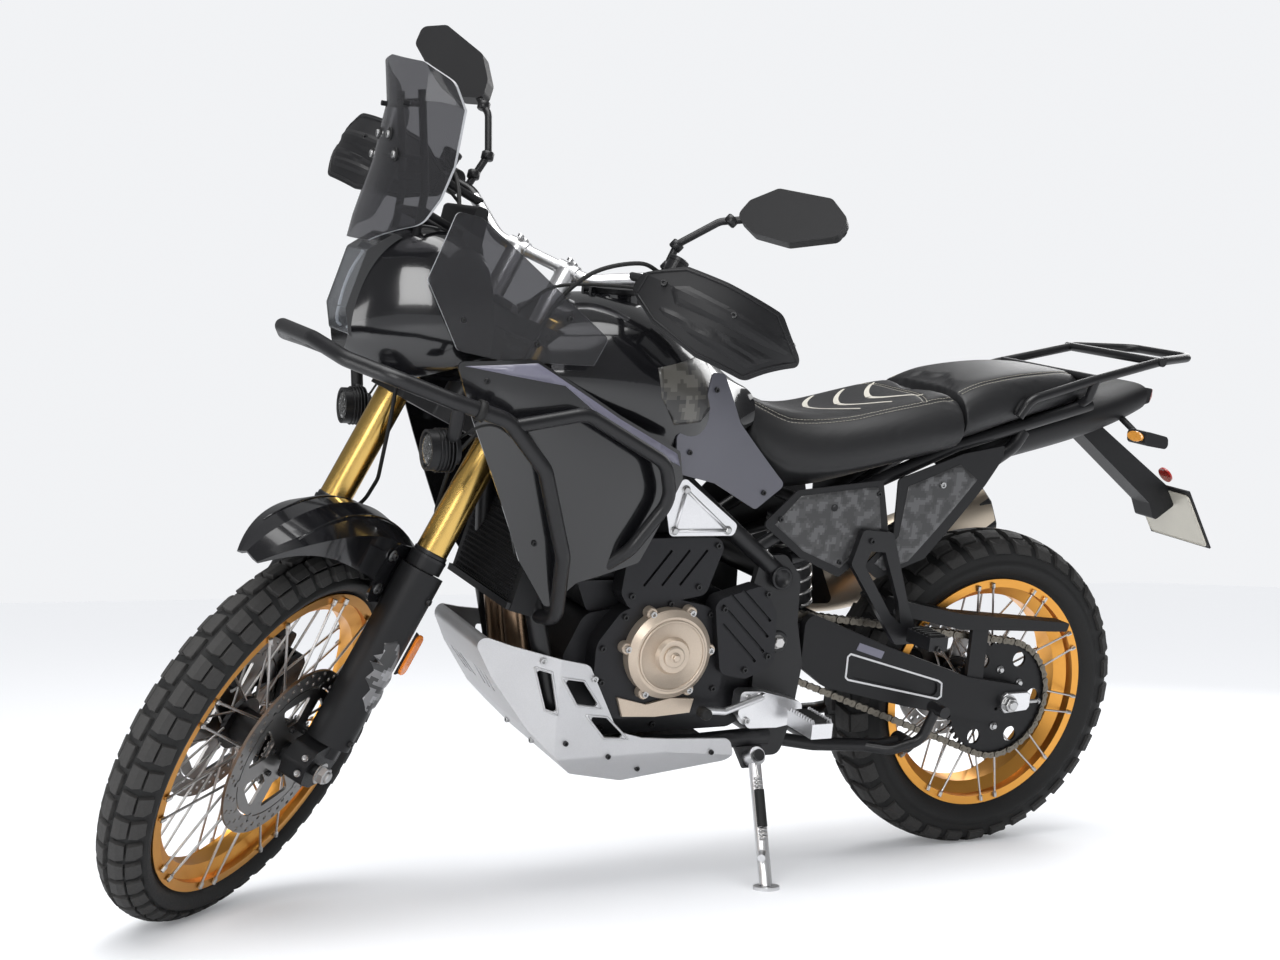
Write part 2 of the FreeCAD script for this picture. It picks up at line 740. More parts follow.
caliper_arm_shares = ((-0.055, 0.070), (-0.050, 0.165), (0.010, 0.150), (0.020, 0.045))
caliper_arm = prism("caliper_arm", [Vector(a * size.layout, size.leg_middle - size.upper_tube_radius, b * size.layout)
                                    for a, b in caliper_arm_shares], Y, "collar_height", size.overrun)
front_caliper = fuse("front_caliper", caliper, caliper_arm)
front_calipers = node(gather("front_caliper_pair", front_caliper, mirrored(front_caliper)), "front_calipers", "steering")


def yoke(name, foot, outline_shares):
    outline = [Vector(a * size.layout, b * size.layout, foot) for a, b in outline_shares]
    whole = outline + [Vector(point.x, -point.y, foot) for point in reversed(outline)]
    return prism(name, whole, Z, "yoke_wall", size.overrun)


lower_outline_shares = ((-0.030, 0.012), (-0.014, 0.118), (0.000, 0.140), (0.052, 0.140), (0.066, 0.118),
                        (0.060, 0.070), (0.030, 0.016))
upper_outline_shares = ((-0.042, 0.030), (-0.034, 0.075), (-0.014, 0.118), (0.000, 0.140), (0.052, 0.140), (0.066, 0.118),
                        (0.052, 0.070), (0.022, 0.030))
lower_yoke = yoke("lower_yoke", size.lower_yoke_foot, lower_outline_shares)
top_yoke = yoke("top_yoke", size.top_yoke_foot, upper_outline_shares)
stem = rod("stem", Vector(0, 0, size.lower_yoke_foot), Vector(0, 0, size.top_yoke_foot + size.yoke_wall), "stem_radius")
bar_centre = Vector(-size.bar_behind, 0, size.bar_height)
riser_foot = Vector(-size.bar_behind, size.riser_middle, size.top_yoke_foot + size.yoke_wall)
riser = rod("riser", riser_foot, Vector(riser_foot.x, riser_foot.y, size.bar_height), "riser_radius")
clamp_start = Vector(riser_foot.x, size.riser_middle - size.riser_radius, size.bar_height)
riser_clamp = rod("riser_clamp", clamp_start, clamp_start + Y * (2 * size.riser_radius), "bar_radius + flange_wall")
risers = [riser, mirrored(riser), riser_clamp, mirrored(riser_clamp)]
yokes = node(fuse("yoke_set", lower_yoke, top_yoke, stem, *risers), "yokes", "steering")

bar_shares = ((-0.022, 0.0, 0.946), (-0.022, 0.095, 0.946), (-0.034, 0.190, 1.000), (-0.058, 0.290, 1.010),
              (-0.092, 0.425, 1.008))
bar_half = tube("bar_half", [grid(*point) for point in bar_shares], "bar_radius")
handlebar = node(fuse("handlebar_whole", bar_half, mirrored(bar_half)), "handlebar", "steering")

grip_start, grip_end = grid(*bar_shares[3]), grid(*bar_shares[4])
grip_line = (grip_end - grip_start).normalize()
grip = rod("grip", grip_start + grip_line * size.overrun, grip_end - grip_line * (2 * size.flange_wall), "grip_radius")
bar_end = rod("bar_end", grip_end - grip_line * (2 * size.flange_wall), grip_end + grip_line * (2 * size.overrun),
              "grip_radius - 1")
switch_start = grip_start - (grip_start - grid(*bar_shares[2])).normalize() * (6 * size.overrun)
switch_box = rod("switch_box", switch_start, grip_start + grip_line * size.overrun, "grip_radius + 7")
lever_shares = ((-0.020, 0.235, 1.000), (0.022, 0.262, 0.998), (0.016, 0.330, 1.000), (-0.012, 0.425, 0.998))
lever = tube("hand_lever", [grid(*point) for point in lever_shares], "0.65 * bar_radius", size.overrun)
controls = fuse("control_side", grip, bar_end, switch_box, lever)
bar_controls = node(gather("control_pair", controls, mirrored(controls)), "bar_controls", "steering")

guard_front_shares = ((0.194, 0.958), (0.205, 0.990), (0.270, 1.030), (0.345, 1.036), (0.440, 1.036), (0.492, 0.985),
                      (0.436, 0.905), (0.352, 0.900), (0.262, 0.918))


def guard_station(y, x, bulge):
    """A slice of the hand guard at y: an upright skin that bulges forward."""
    low, high = 0.88 * size.layout, 1.06 * size.layout
    outer = [Vector((x + bow * bulge) * size.layout, y * size.layout, low + share * (high - low))
             for share, bow in ((0, 0.3), (0.3, 0.9), (0.6, 1.0), (1, 0.2))]
    inner = [point - X * size.guard_wall for point in reversed(outer)]
    return outer + inner


guard_skin = loft("hand_guard_skin", [guard_station(*station) for station in (
    (0.180, 0.030, 0.010), (0.260, 0.048, 0.016), (0.350, 0.040, 0.020), (0.430, 0.004, 0.020),
    (0.470, -0.040, 0.014), (0.495, -0.100, 0.010))], smooth=False)
guard_window = prism("hand_guard_window", [Vector(-0.2 * size.layout, a * size.layout, b * size.layout)
                                           for a, b in guard_front_shares], X, "layout / 3", 2 * size.overrun)
hand_guard = common("hand_guard", guard_skin, guard_window)
guard_strut = tube("hand_guard_strut", [grid(-0.092, 0.436, 1.008), grid(-0.070, 0.462, 1.006), grid(-0.010, 0.456, 1.000),
                                        grid(0.030, 0.380, 0.985), grid(0.036, 0.215, 0.985), grid(-0.028, 0.160, 0.988)],
                   "0.7 * bar_radius", 3 * size.overrun)
guard_side = fuse("hand_guard_side", hand_guard, guard_strut)
hand_guards = node(gather("hand_guard_pair", guard_side, mirrored(guard_side)), "hand_guards", "steering")

mirror_shares = ((0.268, 1.165), (0.276, 1.200), (0.312, 1.240), (0.405, 1.262), (0.448, 1.240), (0.444, 1.205),
                 (0.372, 1.160), (0.310, 1.150))
mirror_shell = prism("mirror_shell", [Vector(-0.078 * size.layout, a * size.layout, b * size.layout)
                                      for a, b in mirror_shares], X, "mirror_depth", 1.5 * size.overrun)
mirror_stalk = tube("mirror_stalk", [grid(-0.0375, 0.205, 1.0015), grid(-0.040, 0.200, 1.075), grid(-0.050, 0.245, 1.145),
                                     grid(-0.056, 0.330, 1.195)], "0.6 * bar_radius", 3 * size.overrun)
mirror = fuse("mirror", mirror_shell, mirror_stalk)
mirrors = node(gather("mirror_pair", mirror, mirrored(mirror)), "mirrors", "steering")

hose_shares = ((0.066, 0.098, 0.798), (0.066, 0.098, 0.660), (0.056, 0.066, 0.560), (0.000, 0.062, 0.470),
               (-0.030, 0.078, 0.425), (-0.030, 0.100, 0.380), (-0.026, 0.104, 0.300), (-0.030, 0.098, 0.200),
               (-0.024, 0.090, 0.130))
hose_left = tube("hose_left", [grid(*point) for point in hose_shares], "hose_radius", 5 * size.overrun)
brake_hoses = node(gather("hose_pair", hose_left, mirrored(hose_left)), "brake_hoses", "steering")


# Chassis, drawn upright: X forward, Y left, Z up

frame_side_shares = {
    "spar": ((1.112, 0.021, 0.989), (1.050, 0.050, 0.962), (1.000, 0.085, 0.930), (0.880, 0.128, 0.860),
             (0.700, 0.128, 0.715), (0.568, 0.119, 0.613)),
    "down": ((1.060, 0.036, 0.972), (1.100, 0.034, 0.815), (1.092, 0.066, 0.755), (1.060, 0.128, 0.560),
             (1.020, 0.134, 0.400), (0.960, 0.130, 0.305), (0.720, 0.122, 0.296), (0.560, 0.119, 0.300)),
    "brace": ((1.088, 0.073, 0.738), (0.985, 0.100, 0.760), (0.880, 0.128, 0.852)),
}
spar = tube("frame_spar", [at(*point) for point in frame_side_shares["spar"]], "frame_tube_radius")
down_tube = tube("frame_down_tube", [at(*point) for point in frame_side_shares["down"]], "frame_tube_radius")
brace = tube("frame_brace", [at(*point) for point in frame_side_shares["brace"]], "brace_tube_radius")
frame_plate_shares = ((0.632, 0.560), (0.612, 0.650), (0.560, 0.652), (0.524, 0.610), (0.520, 0.520), (0.500, 0.440),
                      (0.512, 0.330), (0.532, 0.262), (0.585, 0.262), (0.604, 0.330), (0.606, 0.440))
frame_plate = side_prism("frame_plate", frame_plate_shares, size.frame_plate_inside, "frame_plate_wall",
                         2 * size.overrun)
head_tube = rod("head_tube", head(0, 0, size.head_tube_foot), head(0, 0, size.head_tube_top), "head_tube_radius")
head_bore = rod("head_bore", head(0, 0, size.head_tube_foot - 5 * size.overrun),
                head(0, 0, size.head_tube_top + size.overrun), "stem_radius + pin_gap")
nose_stay = box("nose_stay", Vector(size.head_tube_radius - size.overrun, -size.nose_stay_wall / 2, 0),
                Vector(0.190 * size.layout, size.nose_stay_wall / 2, 0.050 * size.layout))
nose_stay.Placement = Placement(head(0, 0, 0.700 * size.layout), STRAIGHT_FORK.Rotation) * nose_stay.Placement
cross_start, cross_end = at(0.568, -0.126, 0.613), at(0.568, 0.126, 0.613)
cross_tube = cut("frame_cross", rod("frame_cross_outer", cross_start, cross_end, "1.5 * frame_tube_radius"),
                 rod("frame_cross_bore", cross_start - Y * size.overrun, cross_end + Y * size.overrun,
                     "frame_tube_radius"))
side_parts = [spar, down_tube, brace, frame_plate]
frame_solid = fuse("main_frame_solid", head_tube, nose_stay, cross_tube, *side_parts,
                   *[mirrored(part) for part in side_parts])
main_frame_raw = cut("main_frame_bored", frame_solid, head_bore)

subframe_shares = {
    "top": ((0.630, 0.112, 0.655), (0.480, 0.118, 0.745), (0.200, 0.120, 0.862), (-0.120, 0.118, 0.950)),
    "low": ((0.545, 0.112, 0.640), (0.330, 0.118, 0.690), (0.060, 0.120, 0.862), (0.040, 0.120, 0.893)),
}
subframe_sides = [tube(f"subframe_{part}", [at(*point) for point in places], "subframe_tube_radius")
                  for part, places in subframe_shares.items()]
subframe_loop = rod("subframe_loop", at(-0.110, -0.118, 0.947), at(-0.110, 0.118, 0.947), "brace_tube_radius")
shock_cross = rod("shock_cross", at(0.490, -0.118, 0.739), at(0.490, 0.118, 0.739), "brace_tube_radius")
subframe_raw = fuse("subframe_whole", *subframe_sides, *[mirrored(part) for part in subframe_sides], subframe_loop,
                    shock_cross)

crankcase_shares = ((0.590, 0.345), (0.640, 0.318), (0.900, 0.318), (0.985, 0.370), (0.990, 0.470), (0.955, 0.545),
                    (0.860, 0.560), (0.700, 0.590), (0.630, 0.560), (0.612, 0.480))
cylinder_shares = ((0.760, 0.545), (0.945, 0.545), (1.010, 0.700), (0.985, 0.790), (0.880, 0.812), (0.800, 0.770))
crankcase = side_prism("crankcase", crankcase_shares, -size.engine_half, "2 * engine_half", 3 * size.overrun)
cylinder = side_prism("cylinder_block", cylinder_shares, -0.9 * size.engine_half, "1.8 * engine_half", 2 * size.overrun)
bulge_shares = ((0.690, 0.395), (0.730, 0.360), (0.905, 0.360), (0.945, 0.420), (0.945, 0.500), (0.900, 0.560),
                (0.800, 0.580), (0.715, 0.560), (0.680, 0.480))
side_bulge = side_prism("crankcase_bulge", bulge_shares, size.engine_half, "cover_depth", 4 * size.overrun)
right_cover_shares = ((0.650, 0.400), (0.720, 0.350), (0.880, 0.350), (0.950, 0.430), (0.930, 0.540), (0.850, 0.590),
                      (0.720, 0.590), (0.650, 0.520))
clutch_cover = side_prism("clutch_cover", right_cover_shares, -size.engine_half - 1.2 * size.cover_depth,
                          "1.2 * cover_depth", 4 * size.overrun)
fins = [side_prism(f"cylinder_fin{k}", [(a, b + k * size.fin_step / size.layout) for a, b in (
    (0.752, 0.600), (0.985, 0.600), (0.990, 0.606), (0.757, 0.606))], -size.engine_half, "2 * engine_half")
    for k in range(int(size.fin_count))]
engine_raw = fuse("engine_whole", crankcase, cylinder, side_bulge, clutch_cover, *fins)

cover_centre = at(0.809, 0.148, 0.483)
round_cover = turned("round_cover", [("0", "0"), ("cover_radius", "0"), ("cover_radius", "0.55 * cover_depth"),
                                     ("0.86 * cover_radius", "0.8 * cover_depth"),
                                     ("0.42 * cover_radius", "0.8 * cover_depth"),
                                     ("0.36 * cover_radius", "cover_depth"), ("0", "cover_depth")])
round_cover.Placement = Placement(cover_centre, Rotation())
recess_turns = (10, 130, 250)
recess_spread = 34
recess_steps = (-1, -0.5, 0, 0.5, 1)


def cover_recess(number, turn):
    """A shallow sunk field between the round cover's boss and its rim."""
    angles = [math.radians(turn + step * recess_spread) for step in recess_steps]
    floor_y = cover_centre.y + 0.8 * size.cover_depth - size.rib_depth
    centre = Vector(cover_centre.x, 0, cover_centre.z)
    outer = [centre + round_about(0.78 * size.cover_radius, angle, floor_y) for angle in angles]
    inner = [centre + round_about(0.52 * size.cover_radius, angle, floor_y) for angle in reversed(angles)]
    return prism(f"cover_recess{number}", outer + inner, Y, "2 * rib_depth")


round_cover_sunk = cut("round_cover_sunk", round_cover, *[cover_recess(k, turn) for k, turn in enumerate(recess_turns)])
sprocket_cover_shares = ((0.724, 0.578), (0.625, 0.605), (0.592, 0.552), (0.588, 0.452), (0.646, 0.428), (0.700, 0.440),
                         (0.716, 0.528))
sprocket_cover_inside = size.frame_plate_inside + size.frame_plate_wall
sprocket_cover_block = side_prism("sprocket_cover_block", sprocket_cover_shares, sprocket_cover_inside, "cover_depth",
                                  2 * size.overrun)


def groove(name, start, end, inside):
    """A straight groove in the outer face of a cover; start and end are (x, z) shares."""
    low, high = at(start[0], 0, start[1]), at(end[0], 0, end[1])
    side = (high - low).cross(Y).normalize() * (size.rib_width / 2)
    corners = [low - side, high - side, high + side, low + side]
    return prism(name, [Vector(point.x, inside, point.z) for point in corners], Y, "2 * rib_depth")


cover_groove_shares = (((0.668, 0.596), (0.604, 0.536)), ((0.694, 0.590), (0.606, 0.506)), ((0.708, 0.570), (0.612, 0.478)),
                       ((0.704, 0.534), (0.628, 0.460)))
sprocket_cover = cut("sprocket_cover", sprocket_cover_block, *[
    groove(f"sprocket_groove{k}", start, end, sprocket_cover_inside + size.cover_depth - size.rib_depth)
    for k, (start, end) in enumerate(cover_groove_shares)])
bracket_plate_shares = ((0.800, 0.800), (0.684, 0.714), (0.690, 0.694), (0.820, 0.694), (0.836, 0.760))
silver_bracket = side_prism("engine_bracket", bracket_plate_shares, 0.128 * size.layout + size.frame_tube_radius,
                            "panel_wall", size.overrun)
vent_shares = ((0.700, 0.690), (0.895, 0.690), (0.905, 0.590), (0.885, 0.560), (0.735, 0.585))
vent_block = side_prism("vent_block", vent_shares, size.engine_half, "cover_depth", 2 * size.overrun)
vent_groove_shares = (((0.740, 0.668), (0.790, 0.604)), ((0.776, 0.668), (0.826, 0.604)), ((0.812, 0.668), (0.862, 0.604)))
vent_cover = cut("vent_cover", vent_block, *[
    groove(f"vent_groove{k}", start, end, size.engine_half + size.cover_depth - size.rib_depth)
    for k, (start, end) in enumerate(vent_groove_shares)])
engine_covers_raw = gather("engine_cover_set", round_cover_sunk, sprocket_cover, silver_bracket, vent_cover)

header_shares = {
    "left": ((0.985, 0.045, 0.690), (1.040, 0.045, 0.665), (1.075, 0.045, 0.600), (1.040, 0.050, 0.400),
             (0.990, 0.030, 0.300), (0.900, -0.020, 0.288)),
    "right": ((0.985, -0.045, 0.690), (1.040, -0.045, 0.665), (1.075, -0.045, 0.600), (1.040, -0.050, 0.400),
              (0.990, -0.060, 0.300), (0.900, -0.070, 0.288)),
}
headers = [tube(f"header_{side}", [at(*point) for point in places], "header_radius")
           for side, places in header_shares.items()]
collector = tube("exhaust_collector", [at(0.905, -0.045, 0.288), at(0.800, -0.060, 0.286), at(0.640, -0.150, 0.300),
                                       at(0.430, -0.178, 0.400), at(0.330, -0.200, 0.500)], "1.3 * header_radius")
exhaust_raw = fuse("exhaust_whole", *headers, collector)

silencer_line = (at(-0.150, -0.215, 0.655) - at(0.340, -0.200, 0.485)).normalize()


def silencer_ring(name, share, grow):
    """A rounded triangular cross-section of the silencer."""
    centre = at(0.340, -0.200, 0.485) + (at(-0.150, -0.215, 0.655) - at(0.340, -0.200, 0.485)) * share
    upward = silencer_line.cross(Y).normalize() * -1
    if upward.z < 0:
        upward = upward * -1
    half, tall = size.silencer_half_width * grow, size.silencer_half_height * grow
    return [centre + Y * (half * a) + upward * (tall * b)
            for a, b in ((0, -1), (0.7, -0.85), (1, -0.2), (0.85, 0.6), (0.3, 1), (-0.3, 1), (-0.85, 0.6), (-1, -0.2),
                         (-0.7, -0.85))]


silencer_raw = loft("silencer_can", [silencer_ring("silencer", share, grow) for share, grow in (
    (0, 0.42), (0.12, 0.8), (0.25, 1), (0.85, 1), (1, 0.92))])

skid_side_shares = ((1.168, 0.520), (1.100, 0.500), (0.965, 0.470), (0.900, 0.345), (0.850, 0.330), (0.660, 0.312),
                    (0.644, 0.268), (0.860, 0.232), (0.975, 0.262), (1.066, 0.352), (1.128, 0.440))
skid_front_shares = ((-0.172, 0.600), (-0.172, 0.300), (-0.110, 0.222), (0.110, 0.222), (0.172, 0.300), (0.172, 0.600))
skid_top_shares = ((0.600, -0.150), (0.800, -0.172), (1.020, -0.172), (1.185, -0.100), (1.185, 0.100), (1.020, 0.172),
                   (0.800, 0.172), (0.600, 0.150))


def skid_form(name, side_piece, inward):
    """The side outline kept within the outlines seen from ahead and from above, all drawn in by a wall."""
    front = [Vector(0, a * size.layout - inward * (1 if a > 0 else -1), b * size.layout + (inward if b < 0.5 else 0))
             for a, b in skid_front_shares]
    above = [Vector(a * size.layout - (inward if a > 1.1 else 0), b * size.layout - inward * (1 if b > 0 else -1), 0)
             for a, b in skid_top_shares]
    ahead = prism(name + "_ahead", [point + X * (size.layout / 2) for point in front], X, "layout", size.overrun)
    over = prism(name + "_over", above, Z, "layout", size.overrun)
    return common(name, side_piece, ahead, over)


skid_block = skid_form("skid_form", side_prism("skid_block", skid_side_shares, -size.skid_half, "2 * skid_half",
                                               2 * size.overrun), 0)
skid_inside_shares = tuple((a - 0.012, b + 0.012) for a, b in (
    (1.250, 0.700), (0.500, 0.700), (0.500, 0.275), (0.640, 0.270), (0.860, 0.238), (0.972, 0.268), (1.060, 0.356),
    (1.122, 0.444), (1.160, 0.520)))
skid_inside = skid_form("skid_inside_form", side_prism("skid_inside", skid_inside_shares, -size.skid_half,
                                                       "2 * skid_half", 2 * size.overrun), size.skid_wall)
skid_window_shares = {
    "upper": ((1.013, 0.447), (0.974, 0.440), (0.939, 0.392), (0.984, 0.400)),
    "lower": ((0.961, 0.377), (0.924, 0.372), (0.882, 0.332), (0.926, 0.336)),
    "corner": ((1.060, 0.462), (1.034, 0.456), (1.020, 0.386), (1.040, 0.392)),
}
skid_windows = [side_prism(f"skid_window_{part}", shares, -0.5 * size.layout, "layout", size.overrun / 2)
                for part, shares in skid_window_shares.items()]


def skid_slot(number, y, z):
    """A slanted slot through the skid plate's front face."""
    half, lean = size.slot_width / 2, size.slot_height / 3
    corners = [Vector(0, y - half, z), Vector(0, y + half, z), Vector(0, y + half + lean, z + size.slot_height),
               Vector(0, y - half + lean, z + size.slot_height)]
    return prism(f"skid_slot{number}", [point + X * (0.95 * size.layout) for point in corners], X, "layout / 4")


slot_place_shares = ((0.024, 0.400), (0.048, 0.400), (0.072, 0.400))
skid_slots = [skid_slot(k, a * size.layout, b * size.layout) for k, (a, b) in enumerate(slot_place_shares)]
skid_raw = cut("skid_plate_shell", skid_block, skid_inside, *skid_windows, *skid_slots,
               *[mirrored(slot) for slot in skid_slots])

radiator_turn = Rotation(Y, -16)
radiator_core = box("radiator_core", Vector(0, -size.radiator_half, 0), Vector(size.radiator_wall, size.radiator_half,
                                                                               0.235 * size.layout))
radiator_core.Placement = Placement(at(1.075, 0, 0.555), radiator_turn) * radiator_core.Placement
radiator_raw = radiator_core

swingarm_shares = ((0.482, 0.534), (0.300, 0.462), (0.100, 0.392), (-0.047, 0.366), (-0.062, 0.320), (-0.030, 0.292),
                   (0.060, 0.300), (0.250, 0.340), (0.440, 0.388), (0.500, 0.430), (0.500, 0.520))
arm_plate = side_prism("swingarm_plate", swingarm_shares, size.swingarm_inside, "frame_plate_wall + flange_wall",
                       2 * size.overrun)
arm_slot_shares = ((0.385, 0.448), (0.175, 0.385), (0.175, 0.355), (0.385, 0.405))
arm_slot = side_prism("swingarm_slot", arm_slot_shares, size.swingarm_inside + size.frame_plate_wall, "frame_plate_wall",
                      1.4 * size.overrun)
arm_inner_shares = ((0.575, 0.505), (0.480, 0.515), (0.380, 0.480), (0.380, 0.402), (0.480, 0.420), (0.575, 0.463))
arm_inner = side_prism("swingarm_root", arm_inner_shares, size.swingarm_root_inside,
                       "swingarm_inside - swingarm_root_inside", size.overrun)
pivot_half = size.frame_plate_inside - size.seat_gap
pivot_sleeve = rod("swingarm_sleeve", SWINGARM_PIVOT - Y * pivot_half, SWINGARM_PIVOT + Y * pivot_half,
                   "1.25 * frame_tube_radius")
bridge_shares = ((0.470, 0.510), (0.385, 0.478), (0.385, 0.405), (0.470, 0.420))
bridge = side_prism("swingarm_bridge", bridge_shares, -size.swingarm_inside, "2 * swingarm_inside", size.overrun)
rear_axle_end = size.swingarm_inside + 2 * size.frame_plate_wall
rear_axle = rod("rear_axle", REAR_AXLE - Y * rear_axle_end, REAR_AXLE + Y * rear_axle_end, "axle_radius")
thread_mouth = at(0.022, 0, 0.322) + Y * (size.swingarm_inside + size.frame_plate_wall + size.flange_wall)
spool_thread = rod("spool_thread", thread_mouth - Y * size.thread_depth, thread_mouth + Y * size.overrun, "thread_radius")
left_arm = cut("swingarm_left_arm", fuse("swingarm_left_whole", arm_plate, arm_inner), arm_slot, spool_thread)
swingarm_raw = fuse("swingarm_whole", left_arm, mirrored(left_arm), pivot_sleeve, bridge, rear_axle)

shock_top, shock_foot = at(0.490, 0, 0.739), at(0.455, 0, 0.470)
shock_line = (shock_top - shock_foot).normalize()
shock_rod = rod("shock_rod", shock_foot, shock_top, "bar_radius")
shock_coils = tube("shock_spring", [shock_foot + shock_line * (6 * size.overrun), shock_top - shock_line * (3 * size.overrun)],
                   "shock_radius + flange_wall")
shock_raw = fuse("shock_whole", shock_rod, shock_coils)


# Bodywork


tank_shares = (
    (0.640, ((0, 0.870), (0.060, 0.872), (0.092, 0.895), (0.090, 0.930), (0.050, 0.952), (0, 0.956))),
    (0.720, ((0, 0.800), (0.090, 0.805), (0.130, 0.870), (0.122, 0.945), (0.075, 0.992), (0, 1.008))),
    (0.800, ((0, 0.790), (0.110, 0.795), (0.178, 0.880), (0.172, 0.985), (0.100, 1.045), (0, 1.062))),
    (0.900, ((0, 0.830), (0.110, 0.835), (0.200, 0.905), (0.202, 0.995), (0.118, 1.078), (0, 1.102))),
    (1.000, ((0, 0.860), (0.110, 0.862), (0.198, 0.920), (0.200, 1.000), (0.112, 1.078), (0, 1.100))),
    (1.085, ((0, 0.890), (0.100, 0.892), (0.172, 0.930), (0.172, 1.000), (0.095, 1.050), (0, 1.066))),
)
fuel_tank_raw = loft("tank_form", [even_ring(x, halves) for x, halves in tank_shares])

seat_front_shares = (
    (0.655, ((0, 0.850), (0.050, 0.852), (0.078, 0.885), (0.070, 0.940), (0.040, 0.957), (0, 0.960))),
    (0.560, ((0, 0.780), (0.100, 0.785), (0.128, 0.820), (0.112, 0.885), (0.070, 0.912), (0, 0.915))),
    (0.430, ((0, 0.800), (0.125, 0.806), (0.160, 0.840), (0.148, 0.890), (0.090, 0.916), (0, 0.912))),
    (0.300, ((0, 0.830), (0.130, 0.836), (0.172, 0.872), (0.158, 0.918), (0.095, 0.944), (0, 0.940))),
    (0.212, ((0, 0.850), (0.125, 0.856), (0.168, 0.890), (0.150, 0.940), (0.090, 0.962), (0, 0.960))),
)
seat_front_raw = loft("seat_front_form", [even_ring(x, halves) for x, halves in seat_front_shares])
seat_rear_shares = (
    (0.208, ((0, 0.862), (0.120, 0.868), (0.160, 0.900), (0.145, 0.948), (0.090, 0.972), (0, 0.974))),
    (0.120, ((0, 0.890), (0.120, 0.895), (0.156, 0.925), (0.142, 0.972), (0.088, 0.994), (0, 0.996))),
    (-0.010, ((0, 0.925), (0.105, 0.928), (0.138, 0.955), (0.124, 0.992), (0.076, 1.010), (0, 1.012))),
    (-0.120, ((0, 0.950), (0.080, 0.952), (0.106, 0.970), (0.096, 0.996), (0.058, 1.004), (0, 1.004))),
    (-0.165, ((0, 0.960), (0.050, 0.961), (0.070, 0.972), (0.062, 0.984), (0.036, 0.990), (0, 0.990))),
)
seat_rear_raw = loft("seat_rear_form", [even_ring(x, halves) for x, halves in seat_rear_shares])

fairing_stations = (
    (1.300, ((0.118, 0.540), (0.128, 0.700), (0.140, 0.860), (0.140, 1.000), (0.128, 1.080))),
    (1.200, ((0.170, 0.540), (0.190, 0.700), (0.200, 0.860), (0.196, 1.000), (0.180, 1.080))),
    (1.080, ((0.196, 0.540), (0.224, 0.700), (0.238, 0.860), (0.228, 1.000), (0.206, 1.080))),
    (0.940, ((0.190, 0.540), (0.222, 0.700), (0.236, 0.860), (0.222, 1.000), (0.190, 1.080))),
    (0.820, ((0.172, 0.540), (0.196, 0.700), (0.210, 0.860), (0.200, 1.000), (0.170, 1.080))),
)
fairing_outline_shares = ((1.250, 0.992), (1.130, 1.006), (0.980, 0.920), (0.851, 0.858), (0.838, 0.808), (0.908, 0.662),
                          (1.025, 0.630), (1.072, 0.582), (1.130, 0.668), (1.222, 0.900))
fairing = panel("fairing", fairing_outline_shares, fairing_stations, size.panel_wall, size.overrun)
side_fairings_raw = gather("fairing_pair", fairing, mirrored(fairing))

tank_panel_stations = (
    (0.860, ((0.150, 0.700), (0.182, 0.820), (0.196, 0.900), (0.190, 1.020))),
    (0.760, ((0.140, 0.700), (0.160, 0.820), (0.168, 0.900), (0.156, 1.020))),
    (0.660, ((0.130, 0.700), (0.140, 0.820), (0.142, 0.900), (0.122, 1.020))),
    (0.560, ((0.126, 0.700), (0.134, 0.820), (0.134, 0.900), (0.112, 1.020))),
)
tank_panel_outline_shares = ((0.775, 0.990), (0.745, 0.988), (0.700, 0.900), (0.582, 0.784), (0.640, 0.738),
                             (0.740, 0.790), (0.832, 0.812), (0.846, 0.880), (0.792, 0.930))
tank_panel = panel("tank_panel", tank_panel_outline_shares, tank_panel_stations, size.panel_wall, size.overrun)
tank_panels_raw = gather("tank_panel_pair", tank_panel, mirrored(tank_panel))

side_panel_stations = (
    (0.650, ((0.128, 0.560), (0.136, 0.680), (0.138, 0.820))),
    (0.450, ((0.138, 0.560), (0.146, 0.680), (0.146, 0.820))),
    (0.250, ((0.138, 0.560), (0.148, 0.680), (0.148, 0.880))),
    (0.100, ((0.134, 0.560), (0.142, 0.720), (0.142, 0.900))),
)
side_panel_outline_shares = ((0.625, 0.712), (0.560, 0.776), (0.379, 0.798), (0.352, 0.690), (0.452, 0.610), (0.540, 0.650))
rear_panel_outline_shares = ((0.345, 0.800), (0.200, 0.850), (0.080, 0.870), (0.137, 0.790), (0.263, 0.644), (0.365, 0.606),
                             (0.400, 0.630), (0.342, 0.690))
side_panel = panel("side_panel", side_panel_outline_shares, side_panel_stations, size.panel_wall, size.overrun)
rear_side_panel = panel("rear_side_panel", rear_panel_outline_shares, side_panel_stations, size.panel_wall, size.overrun)
panel_pins = [rod(f"panel_pin{k}", at(x, 0.120, z), at(x, 0.1485, z), "stand_pin_radius")
              for k, (x, z) in enumerate(((0.480, 0.745), (0.200, 0.774)))]
panel_sides = [fuse("side_panel_front", side_panel, panel_pins[0]), fuse("side_panel_rear", rear_side_panel, panel_pins[1])]
side_panels_raw = gather("side_panel_set", *panel_sides, *[mirrored(part) for part in panel_sides])

